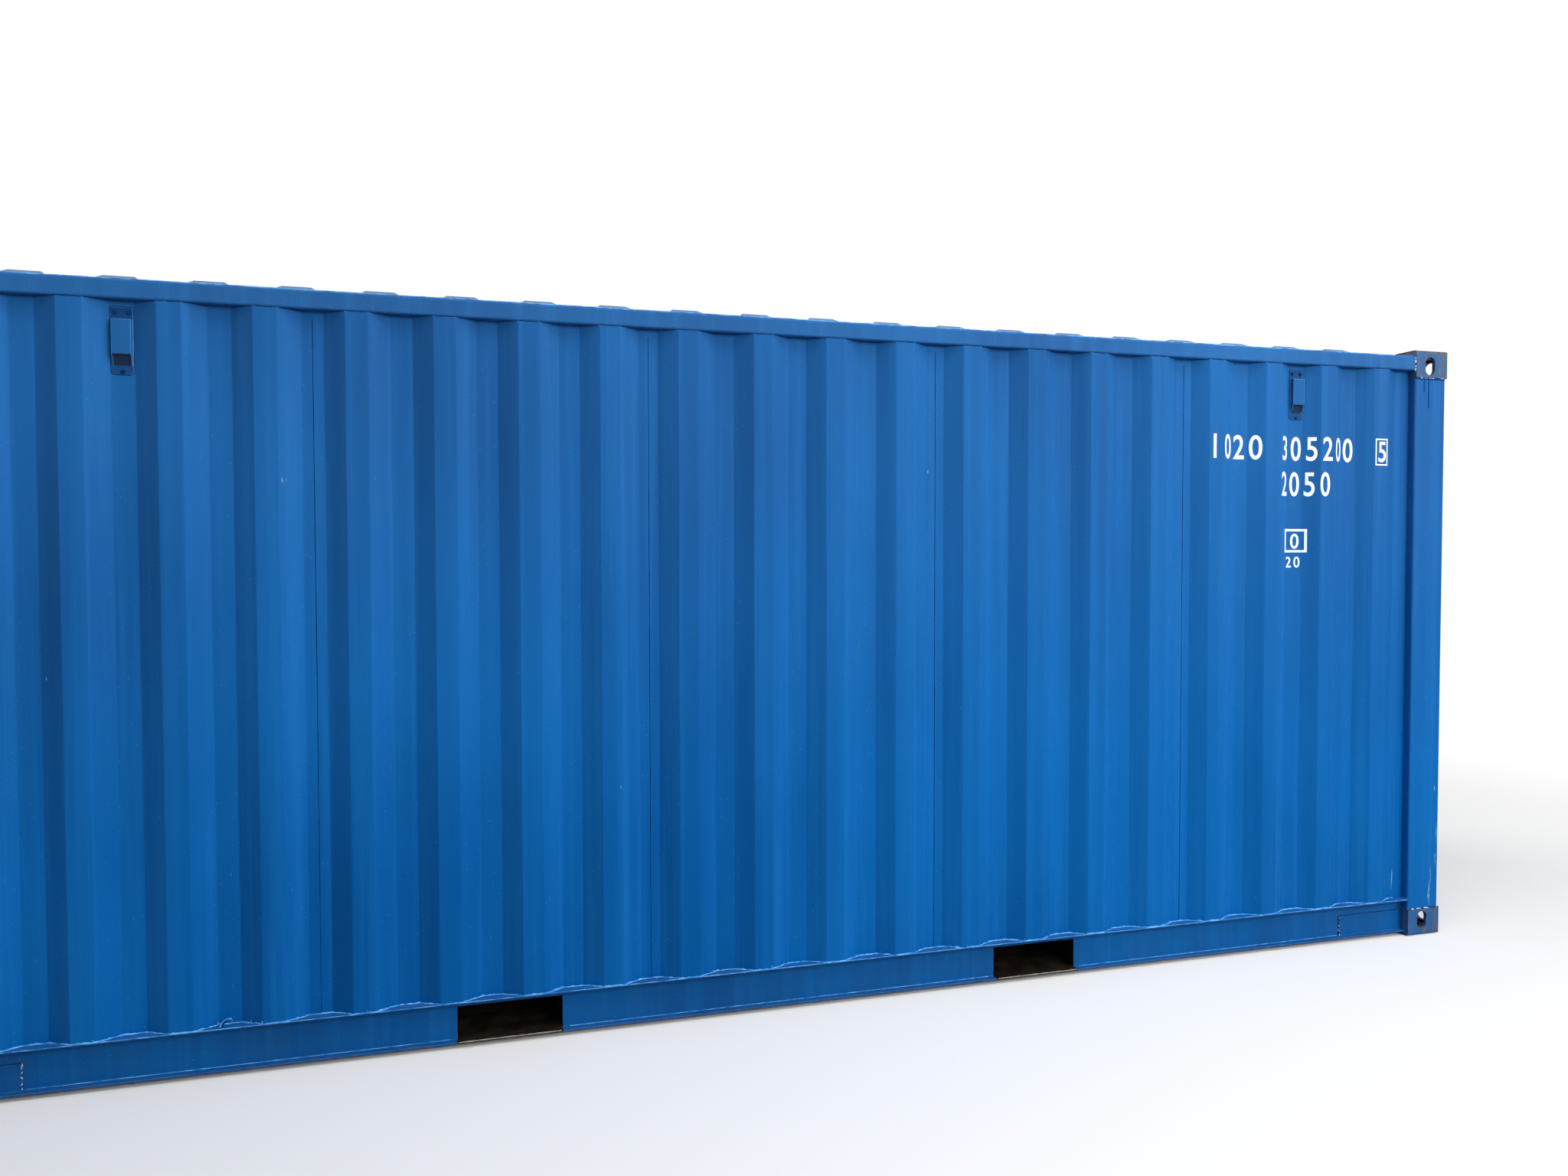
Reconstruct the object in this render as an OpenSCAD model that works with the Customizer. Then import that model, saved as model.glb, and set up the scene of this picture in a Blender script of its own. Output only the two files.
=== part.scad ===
// Twenty-foot steel dry-cargo container, in millimetres.
// +X runs to the blind front end, -X to the door end, +Z is up.
// The origin is on the ground, midway between the ends and the sides.
// The right side is -Y and the left side is +Y, seen by someone facing the front.
// Shapes of the door end are drawn at +X and mirrored to the rear.

/* [Overall] */
// Length over the corner castings
length = 6058; // [5500:1:6600]
// Width over the corner castings
width = 2438; // [2300:1:2600]
// Height over the corner castings
height = 2591; // [2400:1:2900]

/* [Corner castings] */
// Length of a casting along the container
casting_l = 178; // [172:1:186]
// Width of a casting across the container
casting_w = 162; // [156:1:170]
// Height of a casting
casting_h = 118; // [114:1:124]
// Thickness of the face with the twistlock aperture
casting_face = 27; // [20:0.5:28]
// Thickness of the side wall with the lifting hole
casting_side = 16; // [10:0.5:24]
// Thickness of the end wall with the lashing hole
casting_end = 18; // [10:0.5:24]
// Thickness of the three inner walls
casting_back = 9; // [6:0.5:9.5]
// Radius of the outer edges
casting_r = 16; // [4:0.5:18]
// Length of the twistlock aperture
aperture_l = 124; // [110:0.5:130]
// Width of the twistlock aperture
aperture_w = 63.5; // [56:0.5:70]
// Height of the side and end holes
hole_h = 79.5; // [70:0.5:80]
// Width of the side hole
side_hole_w = 51; // [44:0.5:60]
// Width of the end hole
end_hole_w = 63.5; // [50:0.5:70]
// From the end of the container to the middle of the aperture
aperture_end = 102.5; // [98:0.5:106]
// From the side of the container to the middle of the aperture
aperture_side = 89.5; // [84:0.5:94]
// From the outer face of a casting to its side and end holes
hole_rise = 28.5; // [28:0.5:29]

/* [Plate work] */
// Outside radius of the bends in folded plate and sheet
bend_r = 9; // [8.5:0.5:14]
// Flat facets in each bend
bend_facets = 3; // [1:1:6]
// Gap between plates that are butted and welded
weld_gap = 0.5; // [0.3:0.1:0.8]

/* [Corner posts] */
// Plate thickness of the posts
post_t = 6; // [4:0.5:8]
// Posts and top rails stand back this far from the sides of the castings
side_inset = 3; // [2:0.5:6]
// Front posts stand back this far from the ends of the castings
front_inset = 14; // [10:0.5:20]
// Width of a front post seen from the side
front_post_side = 164; // [150:1:170]
// Width of a front post seen from the end
front_post_end = 106; // [90:1:120]
// Strip of a front post left bare beside the side panel
front_lip = 44; // [30:1:60]
// Rear posts stand back this far from the ends of the castings
rear_inset = 44; // [42:0.5:50]
// Width of a rear post seen from the side
rear_post_side = 134; // [128:1:140]
// Depth of a rear post across the container
rear_post_depth = 45; // [40:1:56]
// Width of the channel that lines a rear post
channel_w = 113; // [90:1:120]
// Plate thickness of that channel
channel_t = 12; // [8:0.5:14]
// Strip of a rear post left bare beside the side panel
rear_lip = 98; // [60:1:110]
// Lap of every wall panel on its posts
lap = 17; // [10:1:28]

/* [Wall panels] */
// Thickness of the wall sheet
sheet_t = 2; // [1.6:0.2:3]
// Pitch of the side corrugations
wall_pitch = 278; // [250:1:300]
// Width of an outer face of a side corrugation
wall_face = 72; // [50:1:90]
// Width of a slope of a side corrugation
wall_slope = 68; // [40:1:75]
// Depth of a side corrugation
wall_depth = 36; // [25:0.5:36]
// Outer faces of the side panels stand back this far from the castings
wall_inset = 5; // [4:0.5:8]
// Pitch of the front corrugations
end_pitch = 250; // [220:1:280]
// Width of an outer face of a front corrugation
end_face = 110; // [80:1:120]
// Width of a slope of a front corrugation
end_slope = 18; // [12:1:30]
// Depth of a front corrugation
end_depth = 45.5; // [30:0.5:46]
// Outer faces of the front panel stand back this far from the castings
end_recess = 18; // [16:0.5:24]

/* [Top rails] */
// Outside size of the square top rails
rail_size = 60; // [50:1:70]
// Wall of the top rails
rail_t = 3; // [2.5:0.5:5]
// Outside radius of the corners of the top rails
rail_r = 7; // [6:0.5:10]
// Top rails stand back this far below the tops of the castings
rail_drop = 29; // [28:0.5:36]

/* [Bottom rails] */
// Ground clearance of the rails and cross members
base_rise = 17; // [12:0.5:18]
// Height of the top of the bottom rails above the ground
base_top = 165; // [158:0.5:166]
// Plate thickness of the bottom rails
base_t = 4.5; // [4:0.5:6]
// Webs of the bottom rails stand back this far from the castings
web_inset = 50; // [46:0.5:54]
// Width of the top flange outside the web
top_flange = 48; // [44:0.5:52]
// Width of the bottom flange outside the web
bottom_flange = 30; // [20:0.5:40]
// Length of the doubler plate beside each casting
doubler_l = 332; // [200:1:400]
// Height of the upper edge of the doubler plates above the ground
doubler_top = 107; // [80:1:118]

/* [Underframe] */
// Height of the cross members
member_h = 122; // [116:0.5:124]
// Width of their top flange
member_top = 45; // [35:1:55]
// Width of their bottom flange
member_foot = 40; // [30:1:50]
// Plate thickness of the cross members
member_t = 4; // [3:0.5:5]
// Widest spacing of the cross members
member_gap = 300; // [260:1:360]
// Depth of the front sill along the container
front_sill_d = 60; // [55:1:70]

/* [Fork pockets] */
// Clear width of a fork pocket
pocket_w = 360; // [340:1:380]
// Distance between the middles of the two fork pockets
pocket_spacing = 2050; // [1900:1:2200]
// Thickness of the plate over a fork pocket
pocket_roof_t = 3; // [2:0.5:6]
// Thickness of the straps under the mouths of a fork pocket
strap_t = 6; // [5:0.5:8]
// Length of those straps across the container
strap_l = 236; // [150:1:300]

/* [Floor] */
// Thickness of the plywood floor
floor_t = 28; // [24:0.5:30]
// Gap between neighbouring floor boards
board_gap = 2; // [1:0.5:4]
// Number of boards in each row along the container
board_count = 5; // [3:1:8]
// Width of the steel rail along the middle of the floor
centre_rail_w = 50; // [40:1:80]
// Plate thickness of the centre rail
centre_rail_t = 4; // [3:0.5:5]

/* [Roof] */
// Thickness of the roof sheet
roof_t = 2; // [1.6:0.2:3]
// Pitch of the roof ribs
rib_pitch = 260; // [220:1:300]
// Height of the roof ribs
rib_h = 20; // [12:0.5:20]
// Width of a rib at its foot
rib_foot = 140; // [110:1:170]
// Width of a rib at its top
rib_top = 90; // [50:1:100]
// Length of the sloping ends of a rib
rib_end = 40; // [30:1:90]
// From the outer face of the top rail to the rib ends
rib_inset = 22; // [20:1:90]
// The roof sheet stops this far from the outer face of the top rail
roof_edge = 5; // [2:0.5:10]
// Length of the plates at the two ends of the roof, past the castings
end_plate_l = 111; // [80:1:200]
// Thickness of those end plates
end_plate_t = 4; // [3:0.5:6]

/* [Door frame] */
// Depth of the header and of the sill along the container
beam_d = 85; // [70:1:100]
// Plate thickness of the header and of the sill
beam_t = 4; // [3:0.5:6]
// Height of the sill above the ground
sill_top = 160; // [150:1:164]
// From the top of the container to the underside of the header
header_drop = 144; // [130:1:160]

/* [Doors] */
// Thickness of a door leaf
leaf_t = 50; // [44:1:56]
// Outer faces of the leaves stand back this far from the castings
leaf_recess = 49; // [48:0.5:60]
// Gap round and between the leaves, closed by the gasket
leaf_gap = 8; // [5:0.5:10]
// Width of the upright tubes of a leaf
stile_w = 100; // [80:1:120]
// Height of the cross tubes of a leaf
cross_w = 150; // [120:1:180]
// Wall of the tubes of a leaf
tube_t = 3; // [2:0.5:5]
// Thickness of the gasket along the container
gasket_t = 35; // [20:1:45]

/* [Locking gear] */
// Diameter of a locking bar
bar_d = 34; // [28:0.5:36]
// Wall of a locking bar
bar_t = 3; // [2:0.5:5]
// From the outer face of a leaf to the axis of its bars
bar_out = 25; // [24.5:0.5:26]
// From the middle of the door end to the inner bars
bar_inner = 210; // [150:1:300]
// From the middle of the door end to the outer bars
bar_outer = 900; // [750:1:980]
// Running clearance between a bar and what holds it
bar_fit = 0.3; // [0.2:0.1:0.6]
// Height of a cam and of its slot in the keeper, without clearance
cam_h = 24; // [18:1:32]
// Reach of a cam sideways from the axis of its bar
cam_reach = 52; // [44:1:60]
// Clearance of a cam in its keeper
cam_fit = 0.3; // [0.3:0.1:2]
// Length of a handle
handle_l = 470; // [350:1:520]
// Height of a handle
handle_h = 32; // [26:1:40]
// Thickness of a handle
handle_t = 12; // [8:0.5:14]

/* [Hinges] */
// Number of hinges on a leaf
hinge_count = 4; // [3:1:5]
// Diameter of a hinge pin
pin_d = 16; // [12:0.5:20]
// Outside diameter of a hinge knuckle
knuckle_d = 34; // [28:0.5:34]
// Height of a hinge blade
blade_h = 70; // [50:1:90]
// Length of a hinge blade on the leaf
blade_l = 190; // [120:1:240]
// Thickness of a hinge blade
blade_t = 9; // [6:0.5:12]
// Height of each hinge lug on a post
lug_h = 22; // [14:1:30]

/* [Vents] */
// Number of corrugations between a vent and the end of its wall
vent_from_end = 2; // [1:1:4]
// Width of a vent plate
vent_w = 64; // [50:1:64]
// Height of a vent plate
vent_h = 210; // [160:1:240]
// From the top of a vent plate to the underside of the top rail
vent_drop = 21; // [10:1:60]
// Thickness of a vent plate and of its hood
vent_t = 2; // [1:0.5:3]
// Width of a vent hood
hood_w = 56; // [40:1:60]
// Depth of a vent hood
hood_d = 18; // [12:1:24]
// Height of the upright front of a vent hood
hood_face = 106; // [80:1:120]
// Height of the open slope under a vent hood
hood_slope = 40; // [20:1:50]

/* [Hidden] */
$fn = 48;
cut = 1;
half_l = length / 2;
half_w = width / 2;
// Inner faces of the castings
cast_x = half_l - casting_l;
cast_y = half_w - casting_w;
post_lo = casting_h;
post_hi = height - casting_h;
side_y = half_w - side_inset;
rail_top = height - rail_drop;
rail_low = rail_top - rail_size;

// Side panels run between the lips of the front and rear posts
front_face_x = half_l - front_inset;
front_return_x = front_face_x - front_post_side;
rear_face_x = half_l - rear_inset;
rear_return_x = rear_face_x - rear_post_side;
panel_front_x = front_return_x - front_lip;
panel_rear_x = rear_return_x - rear_lip;
panel_l = panel_front_x + panel_rear_x;
panel_mid_x = (panel_front_x - panel_rear_x) / 2;
panel_y = half_w - wall_inset - wall_depth;
lip_y = panel_y - sheet_t;
wall_count = floor((panel_l + cut) / wall_pitch);
vent_step = wall_count / 2 - vent_from_end;

// Front panel
front_panel_x = half_l - end_recess - end_depth;
front_lip_x = front_panel_x - sheet_t;
front_post_y = side_y - front_post_end;
front_sill_x = front_face_x - front_sill_d;
end_count = floor((2 * cast_y - end_face) / end_pitch);

// Underframe
web_y = half_w - web_inset;
web_in = web_y - base_t;
floor_low = base_rise + member_h;
floor_top = floor_low + floor_t;
pocket_top = floor_low - pocket_roof_t;

// Door end
beam_x = rear_face_x - beam_d;
opening_y = side_y - rear_post_depth;
header_low = height - header_drop;
leaf_x = half_l - leaf_recess;
leaf_lo = sill_top + leaf_gap;
leaf_hi = header_low - leaf_gap;
leaf_in = leaf_gap / 2;
leaf_out = opening_y - leaf_gap;
leaf_panel_l = leaf_hi - leaf_lo - 2 * cross_w;
leaf_mid_z = (leaf_lo + leaf_hi) / 2;
leaf_count = floor(leaf_panel_l / wall_pitch);
bar_x = leaf_x + bar_out;
bar_r = bar_d / 2;

paint = "#1b5fa3";
bare = "#8c8f92";

// Points of a sheet bent along a path, thickness to the left where t is positive
function unit(v) = v / norm(v);
function left_of(v) = [-v[1], v[0]];
function heading(p, i) = unit(p[i + 1] - p[i]);
function offset_path(p, t) = [
    for (i = [0 : len(p) - 1])
        let (a = heading(p, max(i - 1, 0)),
             b = heading(p, min(i, len(p) - 2)),
             n = left_of(unit(a + b)))
        p[i] + n * t / (n * left_of(a))
];
function reversed(p) = [for (i = [len(p) - 1 : -1 : 0]) p[i]];
function swapped(p) = [for (q = p) [q[1], q[0]]];

// The same path with each corner rounded to radius r by n flat facets
function arc_angle(v) = atan2(v[1], v[0]);
function rounded_corner(a, b, c, r, n) =
    let (u = unit(a - b),
         v = unit(c - b),
         turn = 180 - acos(u * v),
         centre = b + unit(u + v) * r / cos(turn / 2),
         side = cross(b - a, c - b) > 0 ? 1 : -1,
         start = arc_angle(b + u * r * tan(turn / 2) - centre))
    [for (i = [0 : n])
        let (angle = start + side * turn * i / n)
        centre + r * [cos(angle), sin(angle)]];
function rounded_path(p, r) = [
    p[0],
    for (i = [1 : len(p) - 2])
        each rounded_corner(p[i - 1], p[i], p[i + 1], r, bend_facets),
    p[len(p) - 1]
];

// Middle line of n corrugations over a length, as [along, outwards] points
function corrugated(l, n, pitch, face, slope, depth) = concat(
    [[-l / 2, 0]],
    [for (k = [0 : n - 1])
        let (c = (k - (n - 1) / 2) * pitch)
        each [[c - face / 2 - slope, 0], [c - face / 2, depth],
              [c + face / 2, depth], [c + face / 2 + slope, 0]]],
    [[l / 2, 0]]
);

module plate_outline(path, t) {
    polygon(concat(path, reversed(offset_path(path, t))));
}

module bent_sheet(path, t) {
    plate_outline(rounded_path(path, bend_r), t);
}

// A profile drawn in X and Z, drawn out along Y
module along_y(l) {
    rotate([90, 0, 0]) linear_extrude(l, center = true) children();
}

// A profile drawn in Y and Z, drawn out along X
module along_x(l) {
    rotate([90, 0, 90]) linear_extrude(l, center = true) children();
}

// A box between two corners
module block(lo, hi) {
    translate(lo) cube(hi - lo);
}

module right_side() {
    mirror([0, 1, 0]) children();
}

module rear_end() {
    mirror([1, 0, 0]) children();
}

module both_sides() {
    children();
    right_side() children();
}

module upside_down() {
    translate([0, 0, height]) mirror([0, 0, 1]) children();
}

// A slot with round ends, l over all and w wide
module slot_outline(l, w) {
    square([l - w, w], center = true);
    for (s = [-1, 1])
        translate([s * (l - w) / 2, 0]) circle(d = w);
}

// A rectangle from the origin with only its far corner rounded
module one_round_corner(a, b, r) {
    square([a - r, b]);
    square([a, b - r]);
    translate([a - r, b - r]) circle(r);
}

// A rectangle from the origin with all corners rounded
module round_rectangle(w, h, r) {
    translate([r, 0]) square([w - 2 * r, h]);
    translate([0, r]) square([w, h - 2 * r]);
    for (x = [r, w - r], y = [r, h - r])
        translate([x, y]) circle(r);
}

module square_tube(w, h, t) {
    difference() {
        round_rectangle(w, h, rail_r);
        translate([t, t]) round_rectangle(w - 2 * t, h - 2 * t, rail_r - t);
    }
}

// A bottom casting at the front left corner
module casting() {
    aperture_x = half_l - aperture_end;
    aperture_y = half_w - aperture_side;
    hole_z = hole_rise + hole_h / 2;
    color(paint) difference() {
        intersection() {
            translate([cast_x, cast_y, 0])
                linear_extrude(casting_h) one_round_corner(casting_l, casting_w, casting_r);
            translate([cast_x, half_w - casting_w / 2, casting_h])
                along_y(casting_w) mirror([0, 1]) one_round_corner(casting_l, casting_h, casting_r);
            translate([half_l - casting_l / 2, cast_y, casting_h])
                along_x(casting_l) mirror([0, 1]) one_round_corner(casting_w, casting_h, casting_r);
        }
        block([cast_x + casting_back, cast_y + casting_back, casting_face],
              [half_l - casting_end, half_w - casting_side, casting_h - casting_back]);
        translate([aperture_x, aperture_y, -cut])
            linear_extrude(casting_face + 2 * cut) slot_outline(aperture_l, aperture_w);
        translate([aperture_x, half_w, hole_z]) rotate([0, 90, 0])
            along_y(2 * casting_side + cut) slot_outline(hole_h, side_hole_w);
        translate([half_l, aperture_y, hole_z]) rotate([90, 0, 0])
            along_x(2 * casting_end + cut) rotate(90) slot_outline(hole_h, end_hole_w);
    }
}

// Cuts a post to length between the castings, and clears the ends of the sill
module post_trim() {
    difference() {
        translate([0, 0, post_lo])
            linear_extrude(post_hi - post_lo) children();
        block([cast_x, 0, 0], [half_l, cast_y, base_top]);
    }
}

// A flat strip between the rails that carries the edge of a side panel beside a post
module post_strip(panel_x, return_x) {
    block([panel_x - lap, lip_y - post_t, base_top], [return_x - weld_gap, lip_y, rail_low]);
}

module front_post() {
    color(paint) {
        post_trim() bent_sheet([
            [front_return_x, lip_y - post_t], [front_return_x, side_y],
            [front_face_x, side_y], [front_face_x, front_post_y],
            [front_lip_x, front_post_y], [front_lip_x, cast_y - lap]
        ], -post_t);
        post_strip(panel_front_x, front_return_x);
    }
}

module rear_post() {
    channel_y = side_y - post_t;
    color(paint) {
        post_trim() {
            bent_sheet([
                [rear_return_x, lip_y - post_t], [rear_return_x, side_y], [rear_face_x, side_y]
            ], -post_t);
            plate_outline([
                [rear_face_x, channel_y], [rear_face_x, opening_y],
                [rear_face_x - channel_w, opening_y], [rear_face_x - channel_w, channel_y]
            ], -channel_t);
        }
        post_strip(panel_rear_x, rear_return_x);
    }
}

module top_rail() {
    color(paint) translate([0, side_y - rail_size, rail_low])
        along_x(2 * cast_x) square_tube(rail_size, rail_size, rail_t);
}

// A length of bottom rail, whole or cut off below at the height low
module rail_length(from, to, low) {
    intersection() {
        along_x(2 * cast_x) bent_sheet([
            [web_y + top_flange, base_top], [web_in, base_top],
            [web_in, base_rise], [web_y + bottom_flange, base_rise]
        ], base_t);
        block([from, 0, low], [to, half_w, base_top]);
    }
}

// Whole lengths between the fork pockets, and bridges over them
module bottom_rail() {
    near = pocket_spacing / 2 - pocket_w / 2;
    far = near + pocket_w;
    color(paint) {
        rail_length(-near, near, base_rise);
        for (m = [0, 1])
            mirror([m, 0, 0]) {
                rail_length(near + weld_gap, far - weld_gap, pocket_top);
                rail_length(far, cast_x, base_rise);
                block([cast_x - doubler_l, web_y, base_rise], [cast_x, web_y + base_t, doubler_top]);
            }
    }
}

module front_top_rail() {
    color(paint) translate([front_face_x - rail_size, 0, rail_low])
        along_y(2 * cast_y) square_tube(rail_size, rail_size, rail_t);
}

// A channel with a plate across each end
module front_sill() {
    section = [[front_sill_x, base_top], [front_face_x, base_top],
               [front_face_x, base_rise], [front_sill_x, base_rise]];
    color(paint) {
        along_y(2 * cast_y) bent_sheet(section, -base_t);
        both_sides() translate([0, cast_y - base_t / 2, 0])
            along_y(base_t) polygon(rounded_path(section, bend_r));
    }
}

// A box beam between the castings
module end_beam(lo, hi) {
    difference() {
        block([beam_x, -cast_y, lo], [rear_face_x, cast_y, hi]);
        block([beam_x + beam_t, -half_w, lo + beam_t], [rear_face_x - beam_t, half_w, hi - beam_t]);
    }
}

// Arms of a beam that reach the rear posts, over or under the castings
module beam_arms(lo, hi) {
    both_sides() difference() {
        block([beam_x, cast_y + weld_gap, lo], [rear_face_x, opening_y, hi]);
        block([beam_x + beam_t, cast_y, lo + beam_t],
              [rear_face_x - beam_t, opening_y - beam_t, hi - beam_t]);
    }
}

module door_header() {
    color(paint) rear_end() {
        end_beam(header_low, rail_top);
        beam_arms(header_low, post_hi);
    }
}

module door_sill() {
    color(paint) rear_end() {
        end_beam(base_rise, sill_top);
        beam_arms(post_lo, sill_top);
    }
}

module side_wall() {
    color(paint) translate([panel_mid_x, panel_y, base_top])
        linear_extrude(rail_low - base_top) bent_sheet(
            corrugated(panel_l, wall_count, wall_pitch, wall_face, wall_slope, wall_depth),
            -sheet_t);
}

module front_wall() {
    color(paint) translate([front_panel_x, 0, base_top]) rotate([0, 0, -90])
        linear_extrude(rail_low - base_top) bent_sheet(
            corrugated(2 * cast_y, end_count, end_pitch, end_face, end_slope, end_depth),
            -sheet_t);
}

// A raised rib with sloping sides and ends, standing on z = 0 and let down by sink
module rib(sink) {
    rib_w = 2 * (side_y - rib_inset);
    function outline(foot, top) = [
        [-foot / 2, -sink], [foot / 2, -sink], [foot / 2, 0],
        [top / 2, rib_h], [-top / 2, rib_h], [-foot / 2, 0]
    ];
    intersection() {
        along_y(rib_w) polygon(outline(rib_foot, rib_top));
        along_x(rib_foot) polygon(outline(rib_w, rib_w - 2 * rib_end));
    }
}

module roof_sheet() {
    sheet_x = cast_x - end_plate_l;
    sheet_y = side_y - roof_edge;
    rib_count = 2 * floor((sheet_x - rib_foot / 2) / rib_pitch + 0.5);
    color(paint) difference() {
        union() {
            block([-sheet_x, -sheet_y, rail_top], [sheet_x, sheet_y, rail_top + roof_t]);
            for (k = [0 : rib_count - 1])
                translate([(k - (rib_count - 1) / 2) * rib_pitch, 0, rail_top + roof_t]) rib(cut);
        }
        for (k = [0 : rib_count - 1])
            translate([(k - (rib_count - 1) / 2) * rib_pitch, 0, rail_top]) rib(cut);
    }
}

// Flat plates that close the roof: one over the rails, one between the castings
module roof_end_plate(face_x) {
    plate_y = side_y - roof_edge;
    color(paint) {
        block([cast_x - end_plate_l, -plate_y, rail_top],
              [cast_x - weld_gap, plate_y, rail_top + end_plate_t]);
        block([cast_x, -cast_y, rail_top], [face_x, cast_y, rail_top + end_plate_t]);
    }
}

module roof_end_plates() {
    roof_end_plate(front_face_x);
    rear_end() roof_end_plate(rear_face_x);
}

module floor_boards() {
    floor_l = front_sill_x + beam_x;
    board_l = floor_l / board_count;
    color("tan") both_sides() for (k = [0 : board_count - 1])
        block([k * board_l - beam_x, centre_rail_w / 2, floor_low],
              [(k + 1) * board_l - beam_x - (k < board_count - 1 ? board_gap : 0), web_in, floor_top]);
}

module floor_centre_rail() {
    edge = centre_rail_w / 2;
    color(paint) translate([(front_sill_x - beam_x) / 2, 0, 0])
        along_x(front_sill_x + beam_x) bent_sheet([
            [-edge, floor_low], [-edge, floor_top], [edge, floor_top], [edge, floor_low]
        ], -centre_rail_t);
}

// Outline of a channel with its web at x = 0 and its flanges towards +X
member_path = [[member_top, floor_low], [0, floor_low], [0, base_rise], [member_foot, base_rise]];

module cross_member() {
    color(paint) along_y(2 * web_in) bent_sheet(member_path, member_t);
}

// Cross members evenly spaced between two places, none at either place
module cross_members(from, to) {
    count = ceil((to - from) / member_gap);
    for (k = [1 : count - 1])
        translate([from + k * (to - from) / count, 0, 0]) cross_member();
}

// An angle on each casting under the corner of the floor, as far as the sill at end_x
module floor_corner(end_x) {
    color(paint) both_sides() translate([cast_x, cast_y, casting_h])
        linear_extrude(floor_low - casting_h) {
            square([end_x - cast_x, member_t]);
            square([member_t, lip_y - post_t - cast_y]);
        }
}

// Two side channels, a plate over them and a strap under each mouth
module fork_pocket() {
    strap_y = web_y + bottom_flange;
    plate_x = pocket_w / 2 - weld_gap;
    color(paint) translate([pocket_spacing / 2, 0, 0]) {
        for (m = [0, 1])
            mirror([m, 0, 0]) translate([pocket_w / 2, 0, 0])
                along_y(2 * web_in) plate_outline(member_path, member_t);
        block([-plate_x, -web_in, pocket_top], [plate_x, web_in, floor_low]);
        both_sides() block([-plate_x, strap_y - strap_l, base_rise],
                           [plate_x, strap_y, base_rise + strap_t]);
    }
}

// The left leaf: a frame of tubes round a panel with level corrugations
module door_leaf() {
    color(paint) {
        difference() {
            block([leaf_x - leaf_t, leaf_in, leaf_lo], [leaf_x, leaf_out, leaf_hi]);
            block([leaf_x - leaf_t - cut, leaf_in + stile_w, leaf_lo + cross_w],
                  [leaf_x + cut, leaf_out - stile_w, leaf_hi - cross_w]);
            for (y = [leaf_in, leaf_out - stile_w])
                block([leaf_x - leaf_t + tube_t, y + tube_t, leaf_lo - cut],
                      [leaf_x - tube_t, y + stile_w - tube_t, leaf_hi + cut]);
            for (z = [leaf_lo, leaf_hi - cross_w])
                block([leaf_x - leaf_t + tube_t, leaf_in + tube_t, z + tube_t],
                      [leaf_x - tube_t, leaf_out - tube_t, z + cross_w - tube_t]);
        }
        translate([leaf_x - wall_depth, (leaf_in + leaf_out) / 2, leaf_mid_z])
            along_y(leaf_out - leaf_in - 2 * stile_w) bent_sheet(
                swapped(corrugated(leaf_panel_l, leaf_count, wall_pitch,
                                   wall_face, wall_slope, wall_depth)),
                sheet_t);
    }
}

module door_gasket() {
    gasket_x = leaf_x - leaf_t / 2;
    color("#202224") rear_end() translate([gasket_x, 0, 0]) along_x(gasket_t) difference() {
        translate([-opening_y, sill_top]) square([2 * opening_y, header_low - sill_top]);
        for (y = [-leaf_out, leaf_in])
            translate([y, leaf_lo]) square([leaf_out - leaf_in, leaf_hi - leaf_lo]);
    }
}

// Heights of the cams, in the middle of the sill and of the header
cam_z = [(base_rise + sill_top) / 2, (header_low + rail_top) / 2];
bar_places = [bar_inner, bar_outer];

// Heights on a leaf where an outer face of a corrugation, or a cross tube, carries a bracket
function leaf_face_z(k) = leaf_mid_z + k * wall_pitch;
bracket_z = [leaf_lo + cross_w / 2, leaf_face_z(-2), leaf_face_z(2), leaf_hi - cross_w / 2];
cam_t = 16;
keeper_t = 8;
keeper_w = 36;
finger_h = 14;

module locking_bars() {
    cam_end = 6;
    color(bare) for (y = bar_places) {
        translate([bar_x, y, cam_z[0] - cam_h / 2 - cam_end]) difference() {
            cylinder(d = bar_d, h = cam_z[1] - cam_z[0] + cam_h + 2 * cam_end);
            translate([0, 0, -cut])
                cylinder(d = bar_d - 2 * bar_t, h = cam_z[1] - cam_z[0] + cam_h + 2 * cam_end + 2 * cut);
        }
        for (z = cam_z)
            block([bar_x - cam_t / 2, y + bar_r - bar_t, z - cam_h / 2],
                  [bar_x + cam_t / 2, y + cam_reach, z + cam_h / 2]);
    }
}

// Forked brackets on the sill and header, beside the bars, that hold the cams
module cam_keepers() {
    keeper_y = cam_reach - keeper_w + bar_r / 2;
    slot_h = cam_h + 2 * cam_fit;
    keeper_h = slot_h + 2 * finger_h;
    color(bare) rear_end() both_sides() for (y = bar_places, z = cam_z)
        translate([rear_face_x, y + keeper_y, z]) difference() {
            block([0, 0, -keeper_h / 2], [bar_x + cam_t / 2 - rear_face_x, keeper_w, keeper_h / 2]);
            block([keeper_t, -cut, -slot_h / 2],
                  [bar_x - rear_face_x + cam_t, keeper_w + cut, slot_h / 2]);
        }
}

// A bearing on the leaf with a bore for the bar, and a foot plate behind it
module bar_bracket() {
    foot_t = 6;
    foot_w = 110;
    hub_h = 46;
    hub_wall = 5;
    hub_r = bar_r + hub_wall;
    difference() {
        union() {
            block([leaf_x, -foot_w / 2, -hub_h / 2], [leaf_x + foot_t, foot_w / 2, hub_h / 2]);
            block([leaf_x, -hub_r, -hub_h / 2], [bar_x, hub_r, hub_h / 2]);
            translate([bar_x, 0, -hub_h / 2]) cylinder(r = hub_r, h = hub_h);
        }
        translate([bar_x, 0, -hub_h]) cylinder(r = bar_r + bar_fit, h = 2 * hub_h);
    }
}

module bar_brackets() {
    color(bare) rear_end() both_sides() for (y = bar_places, z = bracket_z)
        translate([0, y, z]) bar_bracket();
}

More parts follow.
